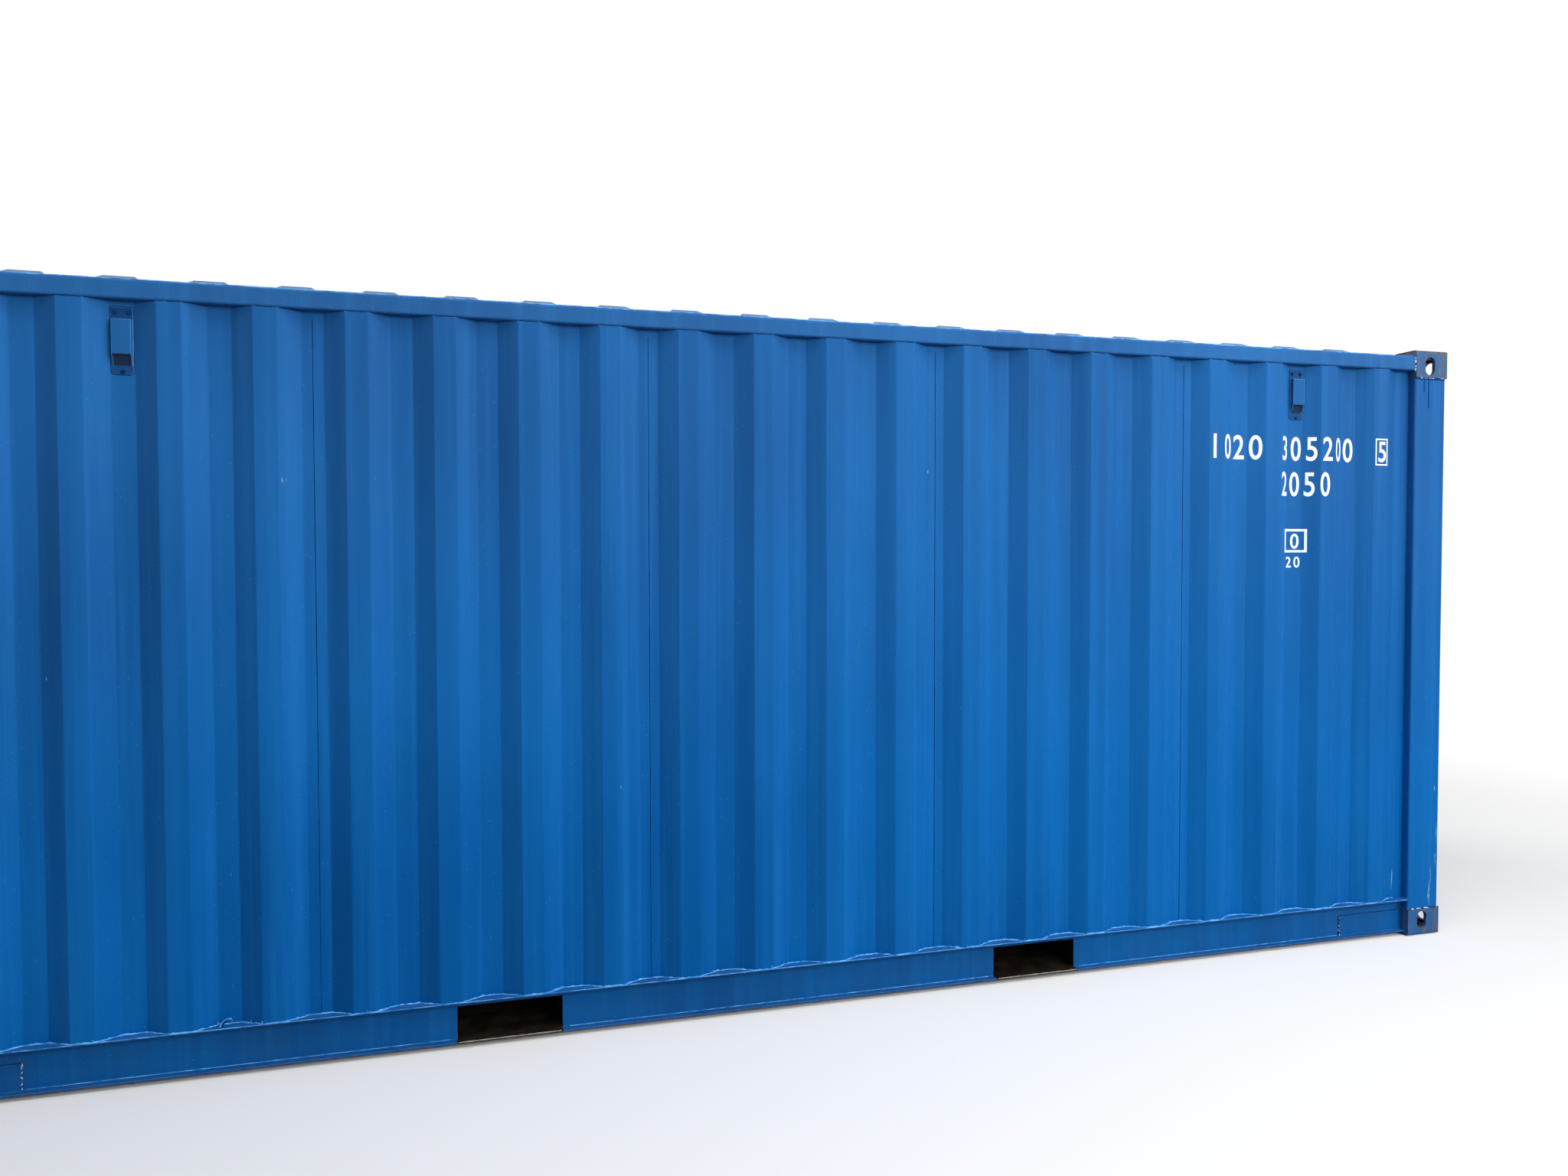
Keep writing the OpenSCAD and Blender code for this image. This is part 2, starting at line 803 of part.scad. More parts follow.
// A lever clamped on a bar, with its free end on a catch; dir is +1 or -1 along Y
module door_handle(dir) {
    hub_h = 60;
    hub_wall = 6;
    hub_r = bar_r + hub_wall;
    catch_end = 60;
    catch_w = 44;
    catch_t = 6;
    handle_x = bar_x + bar_r + hub_wall / 2 - handle_t;
    catch_y = handle_l - catch_end;
    mirror([0, dir < 0 ? 1 : 0, 0]) {
        difference() {
            union() {
                translate([bar_x, 0, -hub_h / 2]) cylinder(r = hub_r, h = hub_h);
                block([handle_x, 0, -handle_h / 2], [handle_x + handle_t, handle_l, handle_h / 2]);
            }
            translate([bar_x, 0, -hub_h]) cylinder(r = bar_r + bar_fit, h = 2 * hub_h);
        }
        block([leaf_x, catch_y, -handle_h], [leaf_x + catch_t, catch_y + catch_w, handle_h]);
        block([leaf_x, catch_y, -handle_h / 2], [handle_x, catch_y + catch_w, handle_h / 2]);
        block([leaf_x, catch_y, handle_h / 2],
              [handle_x + handle_t, catch_y + catch_w, handle_h / 2 + catch_t]);
    }
}

module door_handles() {
    color(bare) rear_end() both_sides() {
        translate([0, bar_inner, leaf_face_z(-1)]) door_handle(1);
        translate([0, bar_outer, leaf_face_z(0)]) door_handle(-1);
    }
}

// A blade on the leaf with its knuckle on a pin between two lugs of the post
module hinge() {
    fit = 0.3;
    knuckle_gap = 1;
    neck_gap = 6;
    pin_x = rear_face_x + knuckle_d / 2 + knuckle_gap;
    pin_y = opening_y + knuckle_d / 4;
    color(paint) {
        difference() {
            union() {
                block([leaf_x, pin_y - blade_l, -blade_h / 2],
                      [leaf_x + blade_t, leaf_out, blade_h / 2]);
                block([leaf_x + neck_gap, leaf_out - knuckle_d, -blade_h / 2],
                      [pin_x + knuckle_d / 4, pin_y, blade_h / 2]);
                translate([pin_x, pin_y, -blade_h / 2]) cylinder(d = knuckle_d, h = blade_h);
            }
            translate([pin_x, pin_y, -blade_h]) cylinder(d = pin_d + 2 * fit, h = 2 * blade_h);
        }
        translate([pin_x, pin_y, -blade_h / 2 - lug_h]) cylinder(d = pin_d, h = blade_h + 2 * lug_h);
        for (m = [0, 1])
            mirror([0, 0, m]) translate([0, 0, blade_h / 2 + fit]) {
                translate([pin_x, pin_y, 0]) cylinder(d = knuckle_d, h = lug_h);
                block([rear_face_x, pin_y - knuckle_d / 4, 0], [pin_x, pin_y + knuckle_d / 2, lug_h]);
            }
    }
}

module hinges() {
    end_gap = 150;
    step = (leaf_hi - leaf_lo - 2 * end_gap) / (hinge_count - 1);
    for (k = [0 : hinge_count - 1])
        translate([0, 0, leaf_lo + end_gap + k * step]) hinge();
}

// A plate with clipped lower corners and a hood that is open along its slope
module vent(side_step) {
    clip = 8;
    low = rail_low - vent_drop - vent_h;
    hood_top = rail_low - vent_drop - 39;
    face_low = hood_top - hood_face;
    y0 = panel_y + vent_t;
    color(paint) translate([panel_mid_x + side_step * wall_pitch, 0, 0]) {
        translate([0, panel_y + vent_t / 2, low]) along_y(vent_t) polygon([
            [-vent_w / 2, vent_h], [-vent_w / 2, clip], [clip - vent_w / 2, 0],
            [vent_w / 2 - clip, 0], [vent_w / 2, clip], [vent_w / 2, vent_h]
        ]);
        difference() {
            along_x(hood_w) polygon([
                [y0, face_low - hood_slope], [y0, hood_top],
                [y0 + hood_d, hood_top], [y0 + hood_d, face_low]
            ]);
            along_x(hood_w - 2 * vent_t) polygon([
                [y0, face_low - hood_slope - cut], [y0, hood_top - vent_t],
                [y0 + hood_d - vent_t, hood_top - vent_t],
                [y0 + hood_d - vent_t, face_low - 3 * vent_t]
            ]);
        }
    }
}

right_side() casting();  // casting_front_right_bottom
upside_down() right_side() casting();  // casting_front_right_top
casting();  // casting_front_left_bottom
upside_down() casting();  // casting_front_left_top
rear_end() right_side() casting();  // casting_rear_right_bottom
upside_down() rear_end() right_side() casting();  // casting_rear_right_top
rear_end() casting();  // casting_rear_left_bottom
upside_down() rear_end() casting();  // casting_rear_left_top
right_side() front_post();  // front_post_right
front_post();  // front_post_left
rear_end() right_side() rear_post();  // rear_post_right
rear_end() rear_post();  // rear_post_left
right_side() top_rail();  // top_rail_right
top_rail();  // top_rail_left
right_side() bottom_rail();  // bottom_rail_right
bottom_rail();  // bottom_rail_left
front_top_rail();
front_sill();
door_header();
door_sill();
right_side() side_wall();  // side_wall_right
side_wall();  // side_wall_left
front_wall();
roof_sheet();
roof_end_plates();
floor_boards();
floor_centre_rail();
union() {  // cross_members_front
    cross_members((pocket_spacing + pocket_w) / 2, front_sill_x);
    floor_corner(front_sill_x);
}
cross_members((pocket_w - pocket_spacing) / 2, (pocket_spacing - pocket_w) / 2);  // cross_members_middle
union() {  // cross_members_rear
    cross_members(-beam_x, -(pocket_spacing + pocket_w) / 2);
    rear_end() floor_corner(beam_x);
}
fork_pocket();  // fork_pocket_front
rear_end() fork_pocket();  // fork_pocket_rear
rear_end() right_side() door_leaf();  // door_right
rear_end() door_leaf();  // door_left
door_gasket();
rear_end() right_side() locking_bars();  // locking_bars_right
rear_end() locking_bars();  // locking_bars_left
bar_brackets();
cam_keepers();
door_handles();
rear_end() right_side() hinges();  // hinges_right
rear_end() hinges();  // hinges_left
right_side() vent(vent_step);  // vent_right_front
right_side() vent(-vent_step);  // vent_right_rear
vent(vent_step);  // vent_left_front
vent(-vent_step);  // vent_left_rear
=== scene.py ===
# %% [markdown]
# A twenty-foot steel container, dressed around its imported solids.
# The solids already have the true shape: corrugated walls, rails, posts, castings, doors.
# This script adds what a welder and a painter leave on them: beads, bolts, screens, stencils and
# paint that has been outside for some years.
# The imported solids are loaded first, because everything else is placed against them.

# %% Load the solids
import math
import random

import bmesh
import bpy
from mathutils import Euler, Matrix, Vector


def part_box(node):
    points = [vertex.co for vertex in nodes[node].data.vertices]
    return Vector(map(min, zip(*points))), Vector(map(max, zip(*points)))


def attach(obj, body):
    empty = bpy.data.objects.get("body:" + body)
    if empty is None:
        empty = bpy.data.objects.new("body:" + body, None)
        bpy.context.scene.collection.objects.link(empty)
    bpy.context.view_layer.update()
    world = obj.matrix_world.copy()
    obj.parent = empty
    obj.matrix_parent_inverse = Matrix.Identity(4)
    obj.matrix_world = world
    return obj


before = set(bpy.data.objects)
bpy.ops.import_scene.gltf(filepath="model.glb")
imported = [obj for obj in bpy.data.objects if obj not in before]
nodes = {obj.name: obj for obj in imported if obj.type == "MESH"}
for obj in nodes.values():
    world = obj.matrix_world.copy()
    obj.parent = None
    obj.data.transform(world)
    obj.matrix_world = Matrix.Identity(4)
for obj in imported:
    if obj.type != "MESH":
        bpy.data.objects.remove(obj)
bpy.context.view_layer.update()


# %% [markdown]
# The photograph was taken from close by with a wide lens, a little above half the height of the
# container and turned towards its blind end. A camera matrix holds that view exactly: its three
# columns are the camera's right, its up and the way it looks, reversed. The angles were found by
# matching the corrugations, the rails and the castings to their places in the photograph.

# %% Camera
scene = bpy.context.scene


def stand(name, data):
    """A new object that stands in the scene."""
    thing = bpy.data.objects.new(name, data)
    scene.collection.objects.link(thing)
    return thing


yaw = math.radians(16.473)
pitch = math.radians(-1.716)
roll = math.radians(-0.078)
camera_place = Vector((-1.218, -5.214, 1.702))

ahead = Vector((math.sin(yaw) * math.cos(pitch), math.cos(yaw) * math.cos(pitch), math.sin(pitch)))
level = Vector((math.cos(yaw), -math.sin(yaw), 0.0))
above = level.cross(ahead)
right = level * math.cos(roll) + above * math.sin(roll)
up = above * math.cos(roll) - level * math.sin(roll)

lens = bpy.data.cameras.new("view")
lens.lens = 26.020
lens.sensor_width = 36.0
lens.sensor_fit = "HORIZONTAL"
lens.clip_end = 200.0
camera = stand("view", lens)
turn = Matrix((right, up, -ahead)).transposed().to_4x4()
camera.matrix_world = Matrix.Translation(camera_place) @ turn
scene.camera = camera


# %% [markdown]
# The light, the finishes and many pieces are trees of nodes. Three helpers build them all.

# %% Helpers for node trees
def add(tree, kind, **settings):
    """A new node with its options set."""
    made = tree.nodes.new(kind)
    for name, value in settings.items():
        setattr(made, name, value)
    return made


def link(tree, value, socket):
    """Joins a socket to a socket, or writes a plain value on it."""
    if isinstance(value, bpy.types.NodeSocket):
        tree.links.new(value, socket)
    else:
        socket.default_value = value


def maths(tree, operation, a, b=0.0):
    """A sum of two sockets or numbers."""
    made = add(tree, "ShaderNodeMath", operation=operation)
    link(tree, a, made.inputs[0])
    link(tree, b, made.inputs[1])
    return made.outputs[0]


# %% [markdown]
# The day was overcast, so a pale world fills in light from all sides. Light Path tells the world
# what kind of ray is looking at it: the camera, reflections and glass see white, while the light
# that falls on the steel stays a soft grey.

# %% World
soft_grey, white = (0.84, 0.92, 1.0, 1.0), (1.0, 1.0, 1.0, 1.0)
world = bpy.data.worlds.new("overcast")
scene.world = world
world.use_nodes = True
sky = world.node_tree
sky.nodes.clear()
rays = add(sky, "ShaderNodeLightPath").outputs
seen = maths(sky, "MAXIMUM", rays["Is Camera Ray"], rays["Is Transmission Ray"])
seen = maths(sky, "MAXIMUM", seen, rays["Is Glossy Ray"])
both = add(sky, "ShaderNodeMixShader")
link(sky, seen, both.inputs[0])
for tint, strength, socket in ((soft_grey, 0.21, both.inputs[1]), (white, 1.0, both.inputs[2])):
    background = add(sky, "ShaderNodeBackground")
    link(sky, tint, background.inputs["Color"])
    link(sky, strength, background.inputs["Strength"])
    link(sky, background.outputs[0], socket)
link(sky, both.outputs[0], add(sky, "ShaderNodeOutputWorld").inputs[0])
print("world has", len(sky.nodes), "nodes")


# %% [markdown]
# At the left end the slopes of the corrugations that face left are a third darker than the flats,
# while at the right end they are nearly as bright. So most of the light comes from an open piece
# of sky in front of the right half, and a nearby lamp hangs there, high enough to throw the
# shadows under the top rail. Its image is kept out of the paint's sheen, which would otherwise
# show a bright patch. A lamp far off on the right and one above light the slopes and the flanges,
# and one behind lights the other side.

# %% Lamps
def soft_lamp(name, place, target, width, height, watts, mirrored=True):
    """A rectangular lamp that looks at a point. The sheen of the paint shows it or not."""
    light = bpy.data.lights.new(name, "AREA")
    light.shape = "RECTANGLE"
    light.size = width
    light.size_y = height
    light.energy = watts
    lamp = stand(name, light)
    lamp.visible_camera = False
    lamp.visible_glossy = mirrored
    lamp.location = place
    lamp.rotation_euler = (Vector(target) - Vector(place)).to_track_quat("-Z", "Y").to_euler()


soft_lamp("open_sky", (3.6, -8.8, 4.0), (1.2, -1.2, 0.9), 5.5, 3.2, 585, mirrored=False)
soft_lamp("sky_right", (15.5, -11.5, 7.5), (0.4, -1.0, 1.0), 10.0, 8.0, 700)
soft_lamp("sky_above", (1.6, -4.2, 9.5), (0.8, -0.9, 0.0), 9.0, 6.0, 700)
soft_lamp("sky_behind", (-12.0, 13.0, 8.0), (0.0, 0.6, 1.2), 9.0, 8.0, 2400)
scene.view_settings.view_transform = "Standard"


# %% [markdown]
# Every finish below is built from the same few ingredients: a position on the object, a noise
# that is stretched along one axis, and a remap that turns the noise into a mask.
# Object coordinates are used, so the patterns stay on the steel whatever the object is placed in.

# %% Ingredients of the finishes
even = (1, 1, 1)


def new_finish(name):
    """A material, its tree, its Principled shader and its object coordinates."""
    finish = bpy.data.materials.new(name)
    finish.use_nodes = True
    tree = finish.node_tree
    place = add(tree, "ShaderNodeTexCoord").outputs["Object"]
    return finish, tree, tree.nodes["Principled BSDF"], place


def coat(tree, shader, tone, roughness, sheen=0.5, normal=None):
    """Puts a colour, a roughness, a strength of sheen and a bump on a shader."""
    link(tree, tone, shader.inputs["Base Color"])
    link(tree, roughness, shader.inputs["Roughness"])
    shader.inputs["Specular IOR Level"].default_value = sheen
    if normal:
        link(tree, normal, shader.inputs["Normal"])


def noise(tree, place, stretch, scale, detail=3.0, roughness=0.55):
    """Noise on coordinates that are stretched by three factors."""
    mapping = add(tree, "ShaderNodeMapping")
    mapping.inputs["Scale"].default_value = stretch
    link(tree, place, mapping.inputs["Vector"])
    made = add(tree, "ShaderNodeTexNoise")
    made.inputs["Scale"].default_value = scale
    made.inputs["Detail"].default_value = detail
    made.inputs["Roughness"].default_value = roughness
    link(tree, mapping.outputs[0], made.inputs["Vector"])
    return made.outputs["Fac"]


def mask(tree, value, low, high, to_low=0.0, to_high=1.0):
    """Remaps a value between two limits, with soft ends."""
    made = add(tree, "ShaderNodeMapRange", interpolation_type="SMOOTHSTEP")
    for socket, number in zip(made.inputs[1:5], (low, high, to_low, to_high)):
        socket.default_value = number
    link(tree, value, made.inputs[0])
    return made.outputs[0]


def share(tree, amount, a):
    """A mask made weaker by a plain number or by another mask."""
    return maths(tree, "MULTIPLY", a, amount)


def blend(tree, amount, a, b):
    """Mixes two colours."""
    made = add(tree, "ShaderNodeMix", data_type="RGBA")
    link(tree, amount, made.inputs[0])
    link(tree, a, made.inputs[6])
    link(tree, b, made.inputs[7])
    return made.outputs[2]


def split(tree, value):
    """The three parts of a place, a normal or a colour, called X, Y and Z."""
    made = add(tree, "ShaderNodeSeparateXYZ")
    link(tree, value, made.inputs[0])
    return made.outputs


def bump(tree, height, distance, strength, normal=None):
    """A bump from a height, over a normal if one is given."""
    made = add(tree, "ShaderNodeBump")
    made.inputs["Strength"].default_value = strength
    made.inputs["Distance"].default_value = distance
    link(tree, height, made.inputs["Height"])
    if normal:
        link(tree, normal, made.inputs["Normal"])
    return made.outputs[0]


def edges(tree, radius):
    """Normals rounded at the edges, and a mask that is 1 on the edges themselves."""
    rounded = add(tree, "ShaderNodeBevel", samples=4)
    rounded.inputs["Radius"].default_value = radius
    dot = add(tree, "ShaderNodeVectorMath", operation="DOT_PRODUCT")
    link(tree, rounded.outputs[0], dot.inputs[0])
    link(tree, add(tree, "ShaderNodeNewGeometry").outputs["True Normal"], dot.inputs[1])
    turned = maths(tree, "SUBTRACT", 1.0, dot.outputs["Value"])
    return rounded.outputs[0], mask(tree, turned, 0.01, 0.16)


def facing_up(tree):
    """A mask that is 1 on faces that look up, where dust lies."""
    normal = add(tree, "ShaderNodeNewGeometry").outputs["Normal"]
    return mask(tree, split(tree, normal)["Z"], 0.55, 0.95)


def colour(red, green, blue):
    """A colour as a painter reads it off a screen, 0 to 255, made linear."""
    def linear(c):
        c /= 255
        return c / 12.92 if c <= 0.04045 else ((c + 0.055) / 1.055) ** 2.4
    return (linear(red), linear(green), linear(blue), 1.0)


print("ingredients ready")


# %% [markdown]
# The container stands on a plain pale floor, which only takes its shadow. It lies half a
# millimetre under the castings, so that the two faces don't flicker into each other.
# Far from the container the lamps are weaker and a plain floor would turn grey, with a hard edge
# against the white sky. A distance from the middle, made a soft step, fades it to white there.
# The real ground is dark and throws little light up under the rails, so the floor that the camera
# sees is pale, and the floor that lights the steel is a middle grey. Right under the container the
# floor is dark for every ray, a painted shadow, as the ground seen through the fork pockets is.

# %% Floor
floor_reach, floor_z = 60.0, -0.0005
fade_from, fade_to = 3.6, 7.5
corners = [(x * floor_reach, y * floor_reach, floor_z) for x, y in ((-1, -1), (1, -1), (1, 1), (-1, 1))]
floor_mesh = bpy.data.meshes.new("studio_floor")
floor_mesh.from_pydata(corners, [], [(0, 1, 2, 3)])
studio_floor = stand("studio_floor", floor_mesh)

floor_look, tree, shader, place = new_finish("pale_floor")
rays = add(tree, "ShaderNodeLightPath").outputs
seen = maths(tree, "MAXIMUM", rays["Is Camera Ray"], rays["Is Glossy Ray"])
ground = blend(tree, seen, (0.30, 0.29, 0.28, 1.0), (0.80, 0.79, 0.78, 1.0))
parts = split(tree, place)
# A painted shadow: the floor right under the container is nearly black.
within_length = mask(tree, maths(tree, "ABSOLUTE", parts["X"]), 2.80, 2.98, 1.0, 0.0)
within_width = mask(tree, maths(tree, "ABSOLUTE", parts["Y"]), 1.04, 1.18, 1.0, 0.0)
under = maths(tree, "MULTIPLY", within_length, within_width)
coat(tree, shader, blend(tree, under, ground, (0.03, 0.028, 0.025, 1.0)), 0.9, 0.1)
distance = add(tree, "ShaderNodeVectorMath", operation="LENGTH")
link(tree, place, distance.inputs[0])
far = mask(tree, distance.outputs["Value"], fade_from, fade_to)
fading = add(tree, "ShaderNodeMixShader")
link(tree, maths(tree, "MULTIPLY", far, seen), fading.inputs[0])
link(tree, shader.outputs[0], fading.inputs[1])
link(tree, add(tree, "ShaderNodeEmission").outputs[0], fading.inputs[2])
link(tree, fading.outputs[0], tree.nodes["Material Output"].inputs["Surface"])
floor_mesh.materials.append(floor_look)
print("floor fades to white from", fade_from, "to", fade_to, "m")


# %% [markdown]
# The paint is a strong blue with a low sheen. It isn't even: broad clouds where the sprayer
# overlapped, upright streaks where rain has run, a fine grain and a few pale specks.

# %% Colours of the paint
paint_blue = colour(6, 93, 162)
paint_deep = colour(1, 78, 143)
paint_light = colour(22, 108, 181)
speck_and_edge_highlight = colour(92, 148, 200)
shade_tone = colour(6, 44, 84)
dust_tone = colour(112, 132, 150)
dirt_tone = colour(46, 50, 54)
scuff_tone = colour(150, 172, 190)
upper_grey_tone = colour(106, 122, 116)
smear_tone = colour(96, 84, 72)
rust_dark = colour(50, 36, 28)
rust_warm = colour(118, 84, 60)


def rust_colour(tree, place):
    speck = mask(tree, noise(tree, place, even, 90, 4, 0.7), 0.35, 0.7)
    return blend(tree, speck, rust_dark, rust_warm)


def sprayed_blue(tree, place):
    """The coat as it was sprayed, and its fine grain."""
    clouds = mask(tree, noise(tree, place, (0.8, 0.8, 0.5), 1.1, 2), 0.3, 0.7)
    streaks = mask(tree, noise(tree, place, (22, 22, 0.4), 1.0, 4, 0.6), 0.4, 0.75)
    fine = mask(tree, noise(tree, place, (1, 1, 0.35), 42, 3), 0.3, 0.7)
    specks = mask(tree, noise(tree, place, even, 150, 1), 0.745, 0.78)
    skin = blend(tree, clouds, paint_deep, paint_blue)
    skin = blend(tree, share(tree, 0.40, streaks), skin, paint_light)
    skin = blend(tree, share(tree, 0.10, fine), skin, paint_deep)
    return blend(tree, share(tree, 0.4, specks), skin, speck_and_edge_highlight), fine


print("paint colours ready")


# %% [markdown]
# Where paint is knocked off an edge, a brown primer and rust come through. The walls have hardly
# any of that, while the castings, which are hit by every crane, have much more. Their tops are
# bare, rust has run down them, and a brown smear stands beside the hole in their side.

# %% Wear of the paint
def bare_steel(tree, place, edge, up, chipping, rusting):
    """Where the paint is gone from edges and in blotches, and the noise that frays it."""
    worn = noise(tree, place, even, 38, 4, 0.65)
    chips = mask(tree, share(tree, worn, edge), 0.62 - 0.5 * chipping, 0.70 - 0.5 * chipping)
    lying = share(tree, 0.22 * rusting, up)
    spread = maths(tree, "ADD", noise(tree, place, (1, 1, 0.6), 14, 6, 0.7), lying)
    blotch = mask(tree, spread, 0.82 - 0.28 * rusting, 0.88 - 0.28 * rusting)
    return maths(tree, "MAXIMUM", chips, blotch), worn


def crane_wear(tree, place, parts, skin, bare, worn, scuffs):
    """What cranes and rain do to a casting: scrapes, a bare top, a smear and rusty runs."""
    top_low, top_high = 2.592, 2.604
    smear_x = 2.998
    scrapes = mask(tree, noise(tree, place, (30, 30, 4), 1.0, 5, 0.75), 0.60, 0.68, 0.0, scuffs)
    skin = blend(tree, scrapes, skin, scuff_tone)
    frayed = maths(tree, "ADD", parts["Z"], share(tree, 0.03, worn))
    bare = maths(tree, "MAXIMUM", bare, mask(tree, frayed, top_low, top_high))
    aside = maths(tree, "SUBTRACT", maths(tree, "ABSOLUTE", parts["X"]), smear_x)
    wander = maths(tree, "SUBTRACT", noise(tree, place, (6, 6, 14), 1.0, 3), 0.5)
    beside = maths(tree, "ADD", maths(tree, "ABSOLUTE", aside), share(tree, 0.045, wander))
    skin = blend(tree, mask(tree, beside, 0.002, 0.016, 0.70, 0.0), skin, smear_tone)
    run_down = mask(tree, noise(tree, place, (30, 30, 2.2), 1.0, 4, 0.6), 0.56, 0.64, 0.0, 0.60)
    return blend(tree, run_down, skin, rust_warm), bare


print("wear ready")


# %% [markdown]
# One function makes all the blue paints. Its numbers say how much of the edges is bare, how much
# rust and dust a face carries, how evenly the dust has settled, how dirty the paint is, how far
# the wear reaches in from an edge and how pale that edge is, a painted highlight on edges that no
# crane has scuffed, how much paler and greyer the upper part is, how deep a vent's plate lies in
# the painted shade of its hood, and how strong the sheen is.
# Three bumps lie on each other: slow waves, because rolled sheet is never quite flat, the orange
# peel of sprayed paint, and the step at the rim of a chip.

# %% Paint
def painted(name, chipping, rusting, dusty=0.2, settled=0.0, grime=0.0, reach=0.004, scuffs=0.0,
            rim=0.35, greyer_above=0.08, painted_shade_depth=0.0, sheen=0.07):
    """Blue paint, from new and even to worn, rusty and dirty."""
    finish, tree, shader, place = new_finish(name)
    parts = split(tree, place)
    skin, fine = sprayed_blue(tree, place)
    up = facing_up(tree)
    dust = mask(tree, noise(tree, place, even, 7, 4), 0.2, 0.8, settled * dusty, dusty)
    dust = share(tree, up, dust)
    skin = blend(tree, dust, skin, dust_tone)
    # Paler and greyer towards the top.
    greyer_below = 0.5 * greyer_above if scuffs else 0.0
    skin = blend(tree, mask(tree, parts["Z"], 0.5, 2.5, greyer_below, greyer_above), skin, upper_grey_tone)
    # Painted shade: the plate behind a vent's hood is darkened where it lies deepest.
    if painted_shade_depth:
        depth = maths(tree, "ABSOLUTE", parts["Y"])
        skin = blend(tree, mask(tree, depth, painted_shade_depth, painted_shade_depth + 0.002, 0.55, 0.0), skin, shade_tone)
    if grime:
        dirt = noise(tree, place, (1, 1, 0.5), 9, 5, 0.65)
        skin = blend(tree, mask(tree, dirt, 0.25, 0.7, 0.3 * grime, grime), skin, dirt_tone)
    rounded, edge = edges(tree, reach)
    bare, worn = bare_steel(tree, place, edge, up, chipping, rusting)
    if scuffs:
        skin, bare = crane_wear(tree, place, parts, skin, bare, worn, scuffs)
    # Pale edges: scuffed steel on castings, and a painted highlight everywhere else.
    skin = blend(tree, share(tree, rim, edge), skin, scuff_tone if scuffs else speck_and_edge_highlight)
    skin = blend(tree, bare, skin, rust_colour(tree, place))
    dull = mask(tree, fine, 0.0, 1.0, 0.40, 0.52)
    dull = maths(tree, "ADD", dull, share(tree, 0.4, maths(tree, "MAXIMUM", bare, dust)))
    waves = noise(tree, place, (5, 5, 0.6), 1.0, 1)
    peel = noise(tree, place, even, 320, 1)
    normal = bump(tree, waves, 0.006, 0.5, rounded if reach < 0.01 else None)
    normal = bump(tree, peel, 0.0004, 0.35, normal)
    normal = bump(tree, maths(tree, "SUBTRACT", 1.0, bare), 0.0006, 0.8, normal)
    coat(tree, shader, skin, dull, sheen, normal)
    return finish


wall_paint = painted("wall_paint", 0.05, 0.0)
frame_paint = painted("frame_paint", 0.20, 0.02)
top_rail_paint = painted("top_rail_paint", 0.20, 0.02, greyer_above=0.13)
# The bottom rails' grime darkens them all over: partly road dirt, partly painted shade under the
# flange.
rail_paint = painted("rail_paint", 0.20, 0.05, dusty=0.1, grime=0.22)
roof_paint = painted("roof_paint", 0.10, 0.06, dusty=0.62, settled=0.65, grime=0.1, sheen=0.35)
vent_paint = painted("vent_paint", 0.05, 0.0, grime=0.10, rim=1.0, painted_shade_depth=1.1815)
casting_paint = painted("casting_paint", 0.60, 0.50, dusty=0.6, grime=0.3, reach=0.010,
                        scuffs=0.5, rim=0.7, greyer_above=0.30)
underframe_paint = painted("underframe_paint", 0.5, 0.45, dusty=0.5, grime=0.75)
print("paints:", [m.name for m in bpy.data.materials if m.name.endswith("paint")])


# %% [markdown]
# The fork pockets are black inside in the photograph: they get hardly any light, and their steel
# is painted nearly black as painted shade. Forks scrape their paint off, so what is left is primer,
# rust and dried mud. Mud lies on the bottom plate, so its colour comes in on faces that look up.
# The lip in front is rubbed to pale steel.
# Many small finishes are only two colours mixed by one noise, as on that lip, so a helper makes
# them.

# %% Scraped steel and painted shade of the fork pockets
pocket_steel_and_shade, tree, shader, place = new_finish("pocket_steel_and_shade")
scraped = mask(tree, noise(tree, place, (3, 14, 14), 1.0, 5, 0.65), 0.35, 0.65)
mud = mask(tree, noise(tree, place, even, 16, 5), 0.35, 0.7, 0.1, 0.8)
# The near-black is painted shade deep in the pocket, over primer and rust.
steel = blend(tree, scraped, colour(6, 6, 6), colour(17, 14, 12))
steel = blend(tree, share(tree, facing_up(tree), mud), steel, colour(42, 35, 28))
coat(tree, shader, steel, 0.85, 0.08, bump(tree, scraped, 0.001, 0.5))


def two_toned(name, pattern, limits, dark, light, roughness, sheen=0.5, ripples=None):
    """A finish of two colours, mixed by a noise that limits make a mask."""
    finish, tree, shader, place = new_finish(name)
    amount = noise(tree, place, *pattern)
    if limits:
        amount = mask(tree, amount, *limits)
    normal = None
    if ripples:
        scale, detail, depth, strength = ripples
        normal = bump(tree, noise(tree, place, even, scale, detail), depth, strength)
    coat(tree, shader, blend(tree, amount, colour(*dark), colour(*light)), roughness, sheen, normal)
    return finish


lip_steel = two_toned("lip_steel", (even, 40, 4), None, (58, 50, 42), (176, 168, 156), 0.8)
print("pocket steel ready")


# %% [markdown]
# A weld bead is painted with the rest, but it is rounder and smoother than the sheet beside it,
# so it catches the light. Its paint is the sheet's colour one step lighter, a painted highlight
# that reads as a pale line, with the ripples of the welding wire as a bump.
# A gap between two sheets lies in shade. A dark paint stands in for that shade, a painted shadow
# that reads as a fine dark line.

# %% Paint on the weld beads, with a painted highlight, and painted shadow in seams
bead_paint_with_highlight = two_toned("bead_paint_with_highlight", (even, 30, 4), (0.3, 0.7), (16, 104, 184), (104, 172, 224),
                       0.45, 0.25, ripples=(220, 2, 0.0008, 0.6))
shadow_and_dark_paint = two_toned("shadow_and_dark_paint", ((1, 1, 0.5), 26, 3), (0.35, 0.65), (2, 40, 88), (4, 66, 128),
                       0.6, 0.08)
print("bead and seam paint ready")


